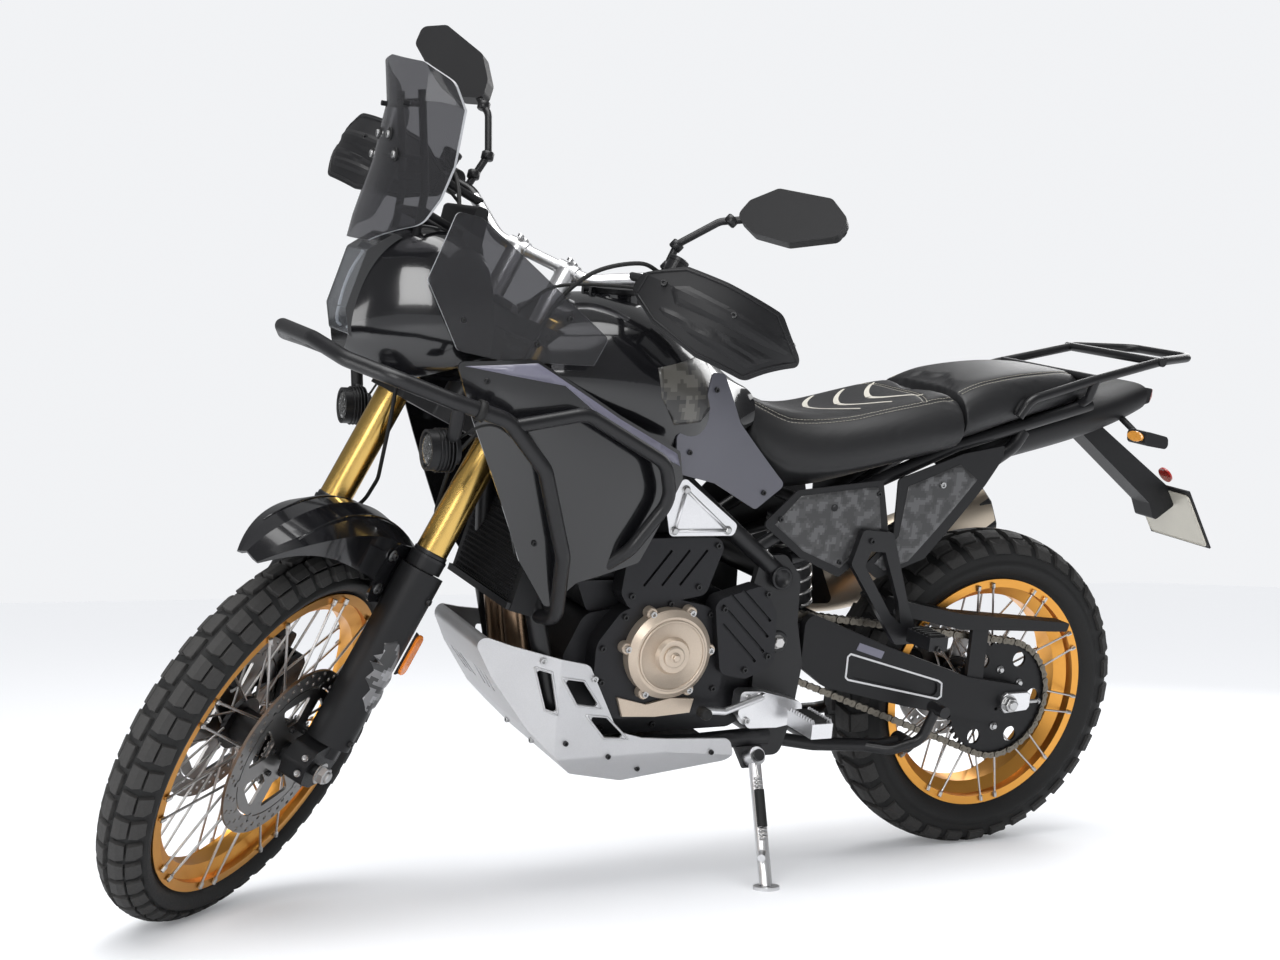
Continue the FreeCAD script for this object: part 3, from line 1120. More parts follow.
tail_shares = (
    (0.150, ((0, 0.800), (0.080, 0.805), (0.100, 0.830), (0.100, 0.852), (0.070, 0.858), (0, 0.860))),
    (-0.050, ((0, 0.850), (0.075, 0.855), (0.098, 0.880), (0.098, 0.908), (0.068, 0.918), (0, 0.920))),
    (-0.200, ((0, 0.890), (0.066, 0.894), (0.088, 0.916), (0.088, 0.946), (0.060, 0.958), (0, 0.960))),
    (-0.310, ((0, 0.930), (0.050, 0.934), (0.070, 0.950), (0.070, 0.978), (0.048, 0.988), (0, 0.990))),
)
tail_cowl_raw = loft("tail_form", [even_ring(x, halves) for x, halves in tail_shares])

rack_side = tube("rack_side", [at(0.080, 0.150, 0.925), at(0.060, 0.155, 0.960), at(-0.090, 0.150, 1.002),
                               at(-0.280, 0.135, 1.046), at(-0.402, 0.085, 1.052), at(-0.402, 0, 1.052)],
                 "rack_tube_radius", 4 * size.overrun)
rack_leg = tube("rack_leg", [at(-0.093, 0.120, 0.950), at(-0.096, 0.140, 0.965), at(-0.100, 0.150, 1.004)],
                "rack_tube_radius", size.overrun)
rack_cross = [rod(f"rack_cross{k}", at(x, -0.148, z), at(x, 0.148, z), "rack_tube_radius")
              for k, (x, z) in enumerate(((-0.100, 1.005), (-0.270, 1.044)))]
rear_rack_raw = fuse("rack_whole", rack_side, mirrored(rack_side), rack_leg, mirrored(rack_leg), *rack_cross)

nose_shares = (
    (1.180, ((0, 0.960), (0.100, 0.965), (0.140, 1.010), (0.140, 1.080), (0.090, 1.150), (0, 1.170))),
    (1.290, ((0, 0.955), (0.090, 0.960), (0.122, 1.000), (0.122, 1.100), (0.080, 1.180), (0, 1.200))),
    (1.360, ((0, 0.965), (0.060, 0.970), (0.085, 1.005), (0.085, 1.080), (0.056, 1.140), (0, 1.155))),
    (1.398, ((0, 0.990), (0.034, 0.993), (0.050, 1.012), (0.050, 1.052), (0.032, 1.078), (0, 1.084))),
)
nose_form = loft("nose_form", [even_ring(x, halves) for x, halves in nose_shares])


def drawn_in(ring, wall):
    """A cross-section whose wall has been taken off all round."""
    middle = sum((point.z for point in ring), 0) / len(ring)
    return [Vector(point.x, point.y - wall * (point.y > 0) + wall * (point.y < 0),
                   point.z - wall * (point.z > middle) + wall * (point.z < middle)) for point in ring]


nose_rings = [drawn_in(even_ring(x, halves), size.nose_wall) for x, halves in nose_shares]
nose_rings = [[point - X * size.overrun for point in ring] if number in (0, len(nose_rings) - 1) else ring
              for number, ring in enumerate(nose_rings)]
nose_hollow = loft("nose_hollow", nose_rings)


def steered_sector(name, side):
    """The room that one fork tube sweeps from lock to lock, drawn round the steering axis."""
    sweep = size.steered_last - size.steered_first
    first = size.steered_first if side > 0 else -size.steered_last
    parts = []
    for part, inner, outer, foot, top in (
            ("tube", size.steered_inner, size.steered_outer, size.steered_foot, size.steered_top),
            ("lower_yoke", size.head_tube_radius, size.yoke_reach, size.lower_yoke_foot - size.moving_gap,
             size.lower_yoke_foot + size.yoke_wall + size.moving_gap),
            ("top_yoke", size.head_tube_radius, size.yoke_reach, size.top_yoke_foot - size.moving_gap,
             size.top_yoke_foot + size.yoke_wall + size.moving_gap)):
        outline = [Vector(inner, 0, foot), Vector(outer, 0, foot), Vector(outer, 0, top), Vector(inner, 0, top)]
        profile = feature(f"{name}_{part}_profile", Part.Face(Part.makePolygon(outline + outline[:1])))
        profile.Placement = STRAIGHT_FORK * Placement(ORIGIN, Rotation(Z, first))
        turn = doc.addObject("Part::Revolution", f"{name}_{part}")
        turn.Source = profile
        turn.Base, turn.Axis, turn.Angle = head(0, 0, 0), STRAIGHT_FORK.Rotation.multVec(Z), sweep
        turn.Solid = True
        parts.append(turn)
    return parts


riser_room = rod("riser_room", head(0, 0, size.top_yoke_foot - size.moving_gap), head(0, 0, size.layout), "riser_reach")
steered_room = fuse("steered_room", *steered_sector("room_left", 1), *steered_sector("room_right", -1), riser_room)
lamp_outline_shares = ((1.300, 1.020), (1.398, 1.012), (1.406, 1.060), (1.376, 1.156), (1.332, 1.186), (1.290, 1.170))
lamp_block = side_prism("lamp_block", lamp_outline_shares, -size.lamp_half, "2 * lamp_half", size.overrun)
nose_cowl_raw = cut("nose_cowl_cleared", nose_form, nose_hollow, lamp_block, steered_room)

screen_stations = (
    (0.000, ((1.385, 1.160), (1.376, 1.209), (1.350, 1.300), (1.330, 1.400), (1.336, 1.476))),
    (0.070, ((1.378, 1.155), (1.366, 1.209), (1.338, 1.300), (1.318, 1.400), (1.326, 1.474))),
    (0.120, ((1.352, 1.150), (1.336, 1.209), (1.304, 1.300), (1.286, 1.400), (1.300, 1.468))),
    (0.150, ((1.322, 1.150), (1.304, 1.209), (1.270, 1.300), (1.258, 1.390), (1.290, 1.455))),
)


def screen_ring(y, profile, side=1):
    """An upright slice of the screen at y, as a thin wall behind its outer curve."""
    outer = [at(x, side * y, z) for x, z in profile]
    inner = [point - X * size.screen_wall for point in reversed(outer)]
    return outer + inner


screen_rings = [screen_ring(y, profile, -1) for y, profile in reversed(screen_stations[1:])]
screen_rings += [screen_ring(y, profile) for y, profile in screen_stations]
screen_skin = loft("screen_skin", screen_rings, smooth=False)
screen_window_shares = ((-0.142, 1.205), (-0.152, 1.258), (-0.156, 1.385), (-0.150, 1.430), (-0.095, 1.462), (0, 1.474),
                        (0.095, 1.462), (0.150, 1.430), (0.156, 1.385), (0.152, 1.258), (0.142, 1.205), (0.060, 1.172),
                        (-0.060, 1.172))
screen_window = front_prism("screen_window", screen_window_shares, 1.2 * size.layout, "layout / 4", 2 * size.overrun)
screen = common("screen", screen_skin, screen_window)
deflector_outline_shares = ((1.262, 1.232), (1.225, 1.225), (1.090, 1.110), (1.010, 1.045), (1.040, 0.985),
                            (1.130, 0.990), (1.250, 1.010), (1.300, 1.120))
deflector_stations = (
    (1.310, ((0.140, 1.000), (0.142, 1.130), (0.138, 1.260))),
    (1.180, ((0.200, 1.000), (0.200, 1.130), (0.186, 1.260))),
    (1.000, ((0.232, 1.000), (0.228, 1.130), (0.214, 1.260))),
)
deflector = panel("deflector", deflector_outline_shares, deflector_stations, size.screen_wall, size.overrun)
windscreen_raw = gather("windscreen_set", screen, deflector, mirrored(deflector))

tower_leg = tube("tower_leg", [at(1.300, 0.060, 1.150), at(1.285, 0.062, 1.260), at(1.300, 0.058, 1.420)],
                 "0.6 * bar_radius", 4 * size.overrun)
tower_foot = tube("tower_foot", [at(1.300, 0.060, 1.160), at(1.296, 0.046, 1.100), at(1.292, 0.008, 1.060)],
                  "0.6 * bar_radius", size.overrun)
tower_cross = [rod(f"tower_cross{k}", at(x, -0.061, z), at(x, 0.061, z), "0.6 * bar_radius")
               for k, (x, z) in enumerate(((1.290, 1.225), (1.287, 1.280), (1.298, 1.400)))]
screw_studs = [rod(f"screen_stud{k}", at(x, y, z), at(x + 0.034, y, z + 0.002), "0.4 * bar_radius")
               for k, (x, y, z) in enumerate(((1.297, 0.059, 1.395), (1.297, -0.059, 1.395),
                                              (1.290, 0.061, 1.310), (1.290, -0.061, 1.310)))]
display_shares = ((1.198, 1.120), (1.178, 1.236), (1.200, 1.244), (1.222, 1.128))
display = side_prism("display_case", display_shares, -0.082 * size.layout, "0.164 * layout", size.overrun)
display_stay = tube("display_stay", [at(1.205, 0.040, 1.190), at(1.286, 0.062, 1.226)], "0.6 * bar_radius", size.overrun)
instrument_tower_raw = cut("tower_cleared", fuse("tower_whole", tower_leg, mirrored(tower_leg), tower_foot, mirrored(tower_foot), *tower_cross, *screw_studs, display,
                            display_stay, mirrored(display_stay)), steered_room)
lamp_inside_shares = ((1.250, 1.024), (1.393, 1.017), (1.401, 1.060), (1.372, 1.153), (1.331, 1.181), (1.250, 1.170))
lamp_inside = side_prism("lamp_inside", lamp_inside_shares, size.lamp_wall - size.lamp_half,
                         "2 * lamp_half - 2 * lamp_wall")
lamp_cover = cut("lamp_cover", lamp_block, lamp_inside)
lamp_back = common("lamp_back", side_prism("lamp_back_wall", ((1.304, 1.000), (1.312, 1.000), (1.312, 1.200), (1.304, 1.200)),
                                           -size.lamp_half, "2 * lamp_half"), lamp_inside)


def projector(name, x, z, reach):
    """A round lamp unit with a domed lens, looking forwards."""
    unit = turned(name, [("0", "0"), ("projector_radius", "0"), ("projector_radius", f"{reach} * projector_radius"),
                         ("0.86 * projector_radius", f"{reach + 0.1} * projector_radius"),
                         ("0.8 * projector_radius", f"{reach + 0.02} * projector_radius"),
                         ("0.5 * projector_radius", f"{reach + 0.24} * projector_radius"),
                         ("0", f"{reach + 0.34} * projector_radius")])
    unit.Placement = Placement(at(x, 0, z), Rotation(Y, X))
    return unit


lamp_units = fuse("lamp_units", lamp_back, projector("lower_projector", 1.308, 1.060, 2.4),
                  projector("upper_projector", 1.308, 1.120, 1.5))
headlamp_raw = gather("headlamp_set", lamp_cover, lamp_units)

crash_side = {
    "front": ((1.468, 0.100, 1.012), (1.440, 0.190, 0.992), (1.384, 0.262, 0.974),
              (1.293, 0.284, 0.943), (1.200, 0.290, 0.915), (1.128, 0.284, 0.835), (1.074, 0.262, 0.686),
              (1.046, 0.190, 0.560), (1.058, 0.130, 0.552)),
    "rear": ((1.190, 0.288, 0.905), (1.062, 0.284, 0.928), (0.900, 0.262, 0.845), (0.876, 0.246, 0.780),
             (0.940, 0.236, 0.690), (0.985, 0.190, 0.640), (1.066, 0.118, 0.612)),
}
crash_left = [at(*point) for point in crash_side["front"]]
crash_right = [Vector(point.x, -point.y, point.z) for point in crash_left]
crash_hoop = tube("crash_hoop", crash_left[::-1] + crash_right, "crash_bar_radius", 5 * size.overrun)
crash_branch = tube("crash_branch", [at(*point) for point in crash_side["rear"]], "0.9 * crash_bar_radius",
                    5 * size.overrun)
crash_bars_raw = fuse("crash_whole", crash_hoop, crash_branch, mirrored(crash_branch))

fog_centre = at(1.264, 0.240, 0.858)
fog_can = turned("fog_can", [("0", "0"), ("0.7 * fog_lamp_radius", "0"), ("fog_lamp_radius", "0.5 * fog_lamp_depth"),
                             ("fog_lamp_radius", "fog_lamp_depth"), ("0.86 * fog_lamp_radius", "fog_lamp_depth"),
                             ("0.8 * fog_lamp_radius", "0.9 * fog_lamp_depth"), ("0", "0.94 * fog_lamp_depth")])
fog_can.Placement = Placement(fog_centre, Rotation(Y, X))
fog_clamp = tube("fog_clamp", [fog_centre + X * (2 * size.overrun), at(1.280, 0.268, 0.890), at(1.280, 0.284, 0.940)],
                 "bar_radius", size.overrun)
fog_lamp = fuse("fog_lamp", fog_can, fog_clamp)
fog_lamps_raw = gather("fog_lamp_pair", fog_lamp, mirrored(fog_lamp))

peg_block = box("rider_peg_block", at(0.508, 0.176, 0.338), at(0.552, 0.262, 0.366))
hanger_shares = ((0.505, 0.335), (0.560, 0.326), (0.622, 0.328), (0.646, 0.356), (0.644, 0.400), (0.600, 0.398),
                 (0.552, 0.385), (0.510, 0.372))
rider_hanger = side_prism("rider_hanger", hanger_shares, size.frame_plate_inside + size.frame_plate_wall,
                          "2 * frame_plate_wall", size.overrun)
rider_arm = rod("rider_peg_arm", at(0.530, 0.126, 0.352), at(0.530, 0.180, 0.352), "stand_pin_radius")
passenger_block = box("passenger_peg_block", at(0.262, 0.176, 0.490), at(0.304, 0.250, 0.516))
passenger_hanger_shares = ((0.262, 0.480), (0.320, 0.480), (0.440, 0.640), (0.420, 0.706), (0.352, 0.700), (0.300, 0.560))
passenger_plate = side_prism("passenger_plate", passenger_hanger_shares, 0.150 * size.layout, "frame_plate_wall",
                             size.overrun)
hanger_window_shares = ((0.312, 0.520), (0.338, 0.540), (0.408, 0.636), (0.398, 0.664), (0.366, 0.662), (0.324, 0.566))
passenger_hanger = cut("passenger_hanger", passenger_plate,
                       side_prism("hanger_window", hanger_window_shares, 0.140 * size.layout, "3 * frame_plate_wall"))
hanger_boss = rod("hanger_boss", at(0.400, 0.112, 0.680), at(0.400, 0.152, 0.680), "stand_pin_radius")
passenger_arm = rod("passenger_peg_arm", at(0.284, 0.155, 0.502), at(0.284, 0.180, 0.502), "stand_pin_radius")
peg_side = [peg_block, rider_hanger, rider_arm]
peg_side_rear = [passenger_block, passenger_hanger, hanger_boss, passenger_arm]
peg_set = [fuse("rider_peg", *peg_side), fuse("passenger_peg", *peg_side_rear)]
foot_pegs_raw = gather("foot_peg_set", *peg_set, *[mirrored(part) for part in peg_set])

gear_lever = tube("gear_lever", [at(0.600, 0.160, 0.390), at(0.690, 0.178, 0.372), at(0.745, 0.185, 0.380),
                                 at(0.745, 0.215, 0.380)], "0.6 * bar_radius", size.overrun)
gear_shaft = rod("gear_shaft", at(0.600, 0.126, 0.390), at(0.600, 0.166, 0.390), "stand_pin_radius")
brake_pedal = tube("brake_pedal", [at(0.560, -0.170, 0.330), at(0.680, -0.186, 0.325), at(0.760, -0.190, 0.345),
                                   at(0.760, -0.225, 0.345)], "0.6 * bar_radius", size.overrun)
brake_shaft = rod("brake_shaft", at(0.560, -0.126, 0.330), at(0.560, -0.176, 0.330), "stand_pin_radius")
foot_controls_raw = gather("foot_control_set", fuse("gear_change", gear_lever, gear_shaft),
                           fuse("foot_brake", brake_pedal, brake_shaft))

plate_stay_shares = ((-0.150, 0.905), (-0.230, 0.900), (-0.447, 0.766), (-0.474, 0.726), (-0.420, 0.690),
                     (-0.400, 0.730))
plate_stay = side_prism("plate_stay", plate_stay_shares, -0.028 * size.layout, "0.056 * layout", size.overrun)
plate_line = (at(-0.548, 0, 0.620) - at(-0.450, 0, 0.765)).normalize()
plate_tilt = math.degrees(math.atan2(plate_line.x, plate_line.z))
board = box("plate_board", Vector(-size.panel_wall, -size.plate_half, 0), Vector(0, size.plate_half, size.plate_height))
board.Placement = Placement(at(-0.450, 0, 0.768), Rotation(Y, plate_tilt)) * board.Placement
plate_holder_raw = fuse("plate_holder_whole", plate_stay, board)

lamp_block = side_prism("tail_lamp_block", ((-0.300, 0.940), (-0.335, 0.950), (-0.340, 0.980), (-0.300, 0.984)),
                        -0.055 * size.layout, "0.110 * layout", size.overrun / 2)
stalk = tube("indicator_stalk", [at(-0.245, 0.050, 0.932), at(-0.262, 0.118, 0.888)], "0.6 * bar_radius", size.overrun)
winker = side_prism("indicator_body", ((-0.232, 0.906), (-0.296, 0.894), (-0.300, 0.868), (-0.236, 0.876)),
                    0.112 * size.layout, "0.052 * layout", size.overrun)
indicator = fuse("indicator", stalk, winker)
rear_lamps_raw = gather("rear_lamp_set", lamp_block, indicator, mirrored(indicator))

guard_upper_shares = ((0.290, 0.556), (0.135, 0.524), (-0.142, 0.496), (-0.136, 0.478), (0.135, 0.492), (0.306, 0.530))
guard_upper = side_prism("chain_guard_upper", guard_upper_shares, 0.082 * size.layout, "0.040 * layout", size.overrun / 2)
guard_post_shares = ((0.060, 0.372), (0.100, 0.382), (0.100, 0.510), (0.060, 0.505))
guard_post = side_prism("chain_guard_post", guard_post_shares, 0.106 * size.layout, "0.010 * layout", size.overrun / 2)
chain_guard_raw = fuse("chain_guard_whole", guard_upper, guard_post)

rear_caliper_shares = ((0.085, 0.392), (0.150, 0.412), (0.172, 0.386), (0.150, 0.350), (0.098, 0.336), (0.072, 0.360))
rear_caliper_block = side_prism("rear_caliper_block", rear_caliper_shares, -size.swingarm_inside, "0.040 * layout",
                                size.overrun)
rear_slot = box("rear_caliper_slot", at(-0.020, -0.081, 0.200), at(0.140, -0.067, 0.420))
rear_caliper_raw = cut("rear_caliper_whole", rear_caliper_block, rear_slot)


# The chain: one loop round both sprockets, its rollers in mesh with the rear one

pitch_radius = size.chain_pitch * size.sprocket_teeth / (2 * math.pi)
front_pitch_radius = size.chain_pitch * size.front_sprocket_teeth / (2 * math.pi)
drive_line = (at(0.652, 0, 0.505) - REAR_AXLE).normalize()


def loop_length(distance):
    """The loop's length for two sprockets that are this far apart."""
    wrap = math.acos((pitch_radius - front_pitch_radius) / distance)
    straight = math.sqrt(distance ** 2 - (pitch_radius - front_pitch_radius) ** 2)
    return 2 * straight + 2 * (math.pi - wrap) * pitch_radius + 2 * wrap * front_pitch_radius


def centre_distance(length):
    """Halves the interval until the loop has the wanted length."""
    low, high = 2 * pitch_radius, length / 2
    for _ in range(50):
        middle = (low + high) / 2
        if loop_length(middle) < length:
            low = middle
        else:
            high = middle
    return (low + high) / 2


chain_length = size.chain_links * size.chain_pitch
sprocket_distance = centre_distance(chain_length)
FRONT_SPROCKET = REAR_AXLE + drive_line * sprocket_distance
drive_angle = math.atan2(drive_line.z, drive_line.x)
wrap_angle = math.acos((pitch_radius - front_pitch_radius) / sprocket_distance)


def chain_outline(grow, y):
    """The loop's outline, grown outwards, at y."""
    top, bottom = drive_angle + wrap_angle, drive_angle - wrap_angle
    rear, front = pitch_radius + grow, front_pitch_radius + grow

    def spot(centre, radius, angle):
        return Vector(centre.x + radius * math.cos(angle), y, centre.z + radius * math.sin(angle))
    rear_top, rear_bottom = spot(REAR_AXLE, rear, top), spot(REAR_AXLE, rear, bottom)
    front_top, front_bottom = spot(FRONT_SPROCKET, front, top), spot(FRONT_SPROCKET, front, bottom)
    return Part.Wire([
        Part.Arc(rear_top, spot(REAR_AXLE, rear, drive_angle + math.pi), rear_bottom).toShape(),
        Part.LineSegment(rear_bottom, front_bottom).toShape(),
        Part.Arc(front_bottom, spot(FRONT_SPROCKET, front, drive_angle), front_top).toShape(),
        Part.LineSegment(front_top, rear_top).toShape(),
    ])


def chain_place(along):
    """The place on the loop at a distance from the rearmost seat, clockwise seen from the left."""
    top, bottom = drive_angle + wrap_angle, drive_angle - wrap_angle
    start = math.pi
    rear_arc = (start - top) * pitch_radius
    straight = math.sqrt(sprocket_distance ** 2 - (pitch_radius - front_pitch_radius) ** 2)
    front_arc = 2 * wrap_angle * front_pitch_radius
    if along < rear_arc:
        return REAR_AXLE + round_about(pitch_radius, start - along / pitch_radius, 0)
    along -= rear_arc
    if along < straight:
        first = REAR_AXLE + round_about(pitch_radius, top, 0)
        last = FRONT_SPROCKET + round_about(front_pitch_radius, top, 0)
        return first + (last - first) * (along / straight)
    along -= straight
    if along < front_arc:
        return FRONT_SPROCKET + round_about(front_pitch_radius, top - along / front_pitch_radius, 0)
    along -= front_arc
    if along < straight:
        first = FRONT_SPROCKET + round_about(front_pitch_radius, bottom, 0)
        last = REAR_AXLE + round_about(pitch_radius, bottom, 0)
        return first + (last - first) * (along / straight)
    along -= straight
    return REAR_AXLE + round_about(pitch_radius, bottom - along / pitch_radius, 0)


def chain_band(name, y):
    outer, inner = chain_outline(size.chain_height / 2, y), chain_outline(-size.chain_height / 2, y)
    base = feature(name + "_outline", Part.Face(outer).cut(Part.Face(inner)).Faces[0])
    band = bound("Part::Extrusion", name, LengthFwd="plate_wall")
    band.Base, band.DirMode, band.Dir, band.Solid = base, "Custom", Y, True
    return band


chain_start = size.chain_middle - size.chain_half
bands = [chain_band("chain_band_inner", chain_start),
         chain_band("chain_band_outer", size.chain_middle + size.chain_half - size.plate_wall)]
rollers = []
for k in range(int(size.chain_links)):
    low = chain_place(k * size.chain_pitch) + Y * (chain_start + size.plate_wall / 2)
    rollers.append(rod(f"roller{k}", low, low + Y * (2 * size.chain_half - size.plate_wall), "roller_radius"))
chain_raw = fuse("chain_whole", *bands, *rollers)

pocket_shares = ((0.540, 0.430), (0.700, 0.430), (0.722, 0.500), (0.700, 0.572), (0.540, 0.572))
sprocket_pocket = side_prism("sprocket_pocket", pocket_shares, size.chain_middle - 2 * size.chain_half,
                             "3 * chain_half", size.overrun)
drive_start = Vector(FRONT_SPROCKET.x, size.chain_middle - 2 * size.chain_half, FRONT_SPROCKET.z)
drive_shaft = rod("drive_shaft", drive_start, drive_start + Y * (3 * size.chain_half), "front_tyre_half / 3")
drive_wheel = rod("drive_wheel", Vector(FRONT_SPROCKET.x, size.chain_middle - size.sprocket_wall / 2, FRONT_SPROCKET.z),
                  Vector(FRONT_SPROCKET.x, size.chain_middle + size.sprocket_wall / 2, FRONT_SPROCKET.z),
                  "front_tyre_half - 2 * roller_radius")
engine_raw = fuse("engine_with_drive", cut("engine_pocketed", engine_raw, sprocket_pocket), drive_shaft, drive_wheel)


# The side stand: it swings back about a tilted pin on the frame's left tube

stand_down = Vector(STAND_FOOT_SPOT.x, STAND_FOOT_SPOT.y, size.stand_foot_height) - STAND_PIVOT
stand_axis = stand_down.cross(STAND_FOLDED).normalize()
stand_fold = math.degrees(stand_down.getAngle(STAND_FOLDED))
eye_half = 1.1 * size.side_leg_radius
eye_low, eye_high = STAND_PIVOT - stand_axis * eye_half, STAND_PIVOT + stand_axis * eye_half
stand_eye = rod("stand_eye", eye_low, eye_high, "1.4 * side_leg_radius")
stand_leg = rod("stand_leg", STAND_PIVOT + stand_down * 0.04, STAND_PIVOT + stand_down * 0.97, "side_leg_radius")
pin_low, pin_high = eye_low - stand_axis * (2 * size.pin_gap + eye_half), eye_high + stand_axis * (size.pin_gap + eye_half / 2)
pin_bore = rod("stand_pin_bore", pin_low, pin_high, "stand_pin_radius + pin_gap")
stand_pin = rod("stand_pin", pin_low, pin_high, "stand_pin_radius")
stand_pin_head = rod("stand_pin_head", eye_high + stand_axis * size.pin_gap, pin_high, "1.6 * stand_pin_radius")
ear_top = eye_low - stand_axis * size.pin_gap
toward_tube = at(0.600, 0.119, 0.299) - ear_top
toward_tube = toward_tube - stand_axis * toward_tube.dot(stand_axis)
reach = toward_tube.Length
toward_tube.normalize()
sideways = stand_axis.cross(toward_tube)
ear_half = 1.4 * size.side_leg_radius
ear_corners = [ear_top - sideways * ear_half - toward_tube * ear_half, ear_top + sideways * ear_half - toward_tube * ear_half,
               ear_top + sideways * (2 * ear_half) + toward_tube * reach,
               ear_top - sideways * (2 * ear_half) + toward_tube * reach]
stand_ear = prism("stand_ear", ear_corners, stand_axis * -1, "0.8 * side_leg_radius", size.overrun / 2)
stand_hook = rod("stand_leg_peg", STAND_PIVOT + stand_down * 0.72, STAND_PIVOT + stand_down * 0.72 + Vector(
    2 * size.overrun, 3 * size.overrun, 0), "stand_pin_radius")
main_frame_raw = fuse("main_frame_with_pins", main_frame_raw, stand_ear, stand_pin, stand_pin_head,
                      rod("centre_pin", CENTRE_PIVOT - Y * (size.frame_plate_inside + size.pin_gap),
                          CENTRE_PIVOT + Y * (size.frame_plate_inside + size.pin_gap), "stand_pin_radius"))

# The centre stand, folded up behind its pin
centre_half = size.frame_plate_inside - size.moving_gap
sleeve = rod("centre_sleeve", CENTRE_PIVOT - Y * centre_half, CENTRE_PIVOT + Y * centre_half, "centre_sleeve_radius")
centre_leg = tube("centre_leg", [at(0.540, 0.088, 0.285), at(0.440, 0.100, 0.268), at(0.300, 0.118, 0.262),
                                 at(0.240, 0.122, 0.268)], "centre_leg_radius")
centre_foot = rod("centre_foot", at(0.246, 0.104, 0.267), at(0.246, 0.142, 0.267), "1.3 * centre_leg_radius")
centre_cross = rod("centre_cross", at(0.420, -0.100, 0.267), at(0.420, 0.100, 0.267), "centre_leg_radius")
foot_lever = tube("centre_lever", [at(0.330, 0.118, 0.262), at(0.290, 0.150, 0.262), at(0.235, 0.168, 0.285),
                                   at(0.212, 0.176, 0.352)], "0.8 * centre_leg_radius", 4 * size.overrun)
lever_pad = rod("centre_lever_pad", at(0.213, 0.160, 0.350), at(0.213, 0.205, 0.350), "0.9 * centre_leg_radius")
centre_bore = rod("centre_bore", CENTRE_PIVOT - Y * (2 * centre_half), CENTRE_PIVOT + Y * (2 * centre_half),
                  "stand_pin_radius + pin_gap")
centre_parts = [centre_leg, centre_foot]
centre_stand_raw = cut("centre_stand_whole", fuse("centre_stand_solid", sleeve, centre_cross, foot_lever, lever_pad,
                                                  *centre_parts, *[mirrored(part) for part in centre_parts]), centre_bore)

# The filler: a collar on the tank and a lid hinged at its front edge
lid_centre = at(0.900, 0, 1.107)
collar_wall = size.lid_wall
collar_ring = rod("filler_collar", lid_centre - Z * (5 * size.overrun), lid_centre, "lid_radius + lid_wall")
lid_hinge = lid_centre + X * (size.lid_radius + 0.6 * size.lid_wall) + Z * (size.pin_gap + 0.6 * size.lid_wall)
hinge_half = 1.2 * size.lid_wall
hinge_pin = rod("lid_pin", lid_hinge - Y * (2 * hinge_half), lid_hinge + Y * (2 * hinge_half), "0.3 * lid_wall")
hinge_lugs = [box(f"lid_lug{k}", lid_hinge + Vector(-0.5 * size.lid_wall, y, -0.8 * size.lid_wall),
                  lid_hinge + Vector(0.5 * size.lid_wall, y + hinge_half - size.pin_gap, 0.5 * size.lid_wall))
              for k, y in enumerate((hinge_half + size.pin_gap, -2 * hinge_half))]
head_room = rod("head_room", head(0, 0, size.steered_foot), head(0, 0, size.layout), "head_tube_radius + moving_gap")
fuel_tank_raw = cut("fuel_tank_tunnelled", fuse("fuel_tank_whole", fuel_tank_raw, collar_ring, hinge_pin, *hinge_lugs),
                    head_room, steered_room)
lid_foot = lid_centre + Z * size.pin_gap
lid_disc = rod("lid_disc", lid_foot, lid_foot + Z * size.lid_wall, "lid_radius")
lid_eye = rod("lid_eye", lid_hinge - Y * hinge_half, lid_hinge + Y * hinge_half, "0.55 * lid_wall")
lid_tab = box("lid_tab", lid_foot + Vector(size.lid_radius / 2, -hinge_half, 0.1 * size.lid_wall),
              Vector(lid_hinge.x, hinge_half, lid_foot.z + 0.9 * size.lid_wall))
lid_bore = rod("lid_bore", lid_hinge - Y * (2 * hinge_half), lid_hinge + Y * (2 * hinge_half), "0.3 * lid_wall + pin_gap")
fuel_lid = node(cut("fuel_lid_whole", fuse("fuel_lid_solid", lid_disc, lid_eye, lid_tab), lid_bore), "fuel_lid", "fuel_lid")
node(centre_stand_raw, "centre_stand", "centre_stand")

chassis_nodes = [
    (main_frame_raw, "main_frame"), (swingarm_raw, "swingarm"), (chain_raw, "chain"), (subframe_raw, "subframe"),
    (engine_raw, "engine"), (engine_covers_raw, "engine_covers"), (exhaust_raw, "exhaust"), (silencer_raw, "silencer"),
    (crash_bars_raw, "crash_bars"), (radiator_raw, "radiator"), (skid_raw, "skid_plate"), (shock_raw, "shock"),
    (rear_rack_raw, "rear_rack"), (fuel_tank_raw, "fuel_tank"), (instrument_tower_raw, "instrument_tower"),
    (headlamp_raw, "headlamp"), (nose_cowl_raw, "nose_cowl"), (fog_lamps_raw, "fog_lamps"),
    (side_fairings_raw, "side_fairings"), (windscreen_raw, "windscreen"), (tank_panels_raw, "tank_panels"),
    (seat_front_raw, "seat_front"), (seat_rear_raw, "seat_rear"), (foot_pegs_raw, "foot_pegs"),
    (foot_controls_raw, "foot_controls"), (side_panels_raw, "side_panels"), (tail_cowl_raw, "tail_cowl"),
    (rear_lamps_raw, "rear_lamps"), (plate_holder_raw, "plate_holder"), (chain_guard_raw, "chain_guard"),
    (rear_caliper_raw, "rear_caliper"),
]
for item, label in chassis_nodes:
    node(item, label, "chassis")


# The stance: both tyres and the stand's foot on the ground, the bike leaning to its left

LEAN = math.radians(size.lean_angle)


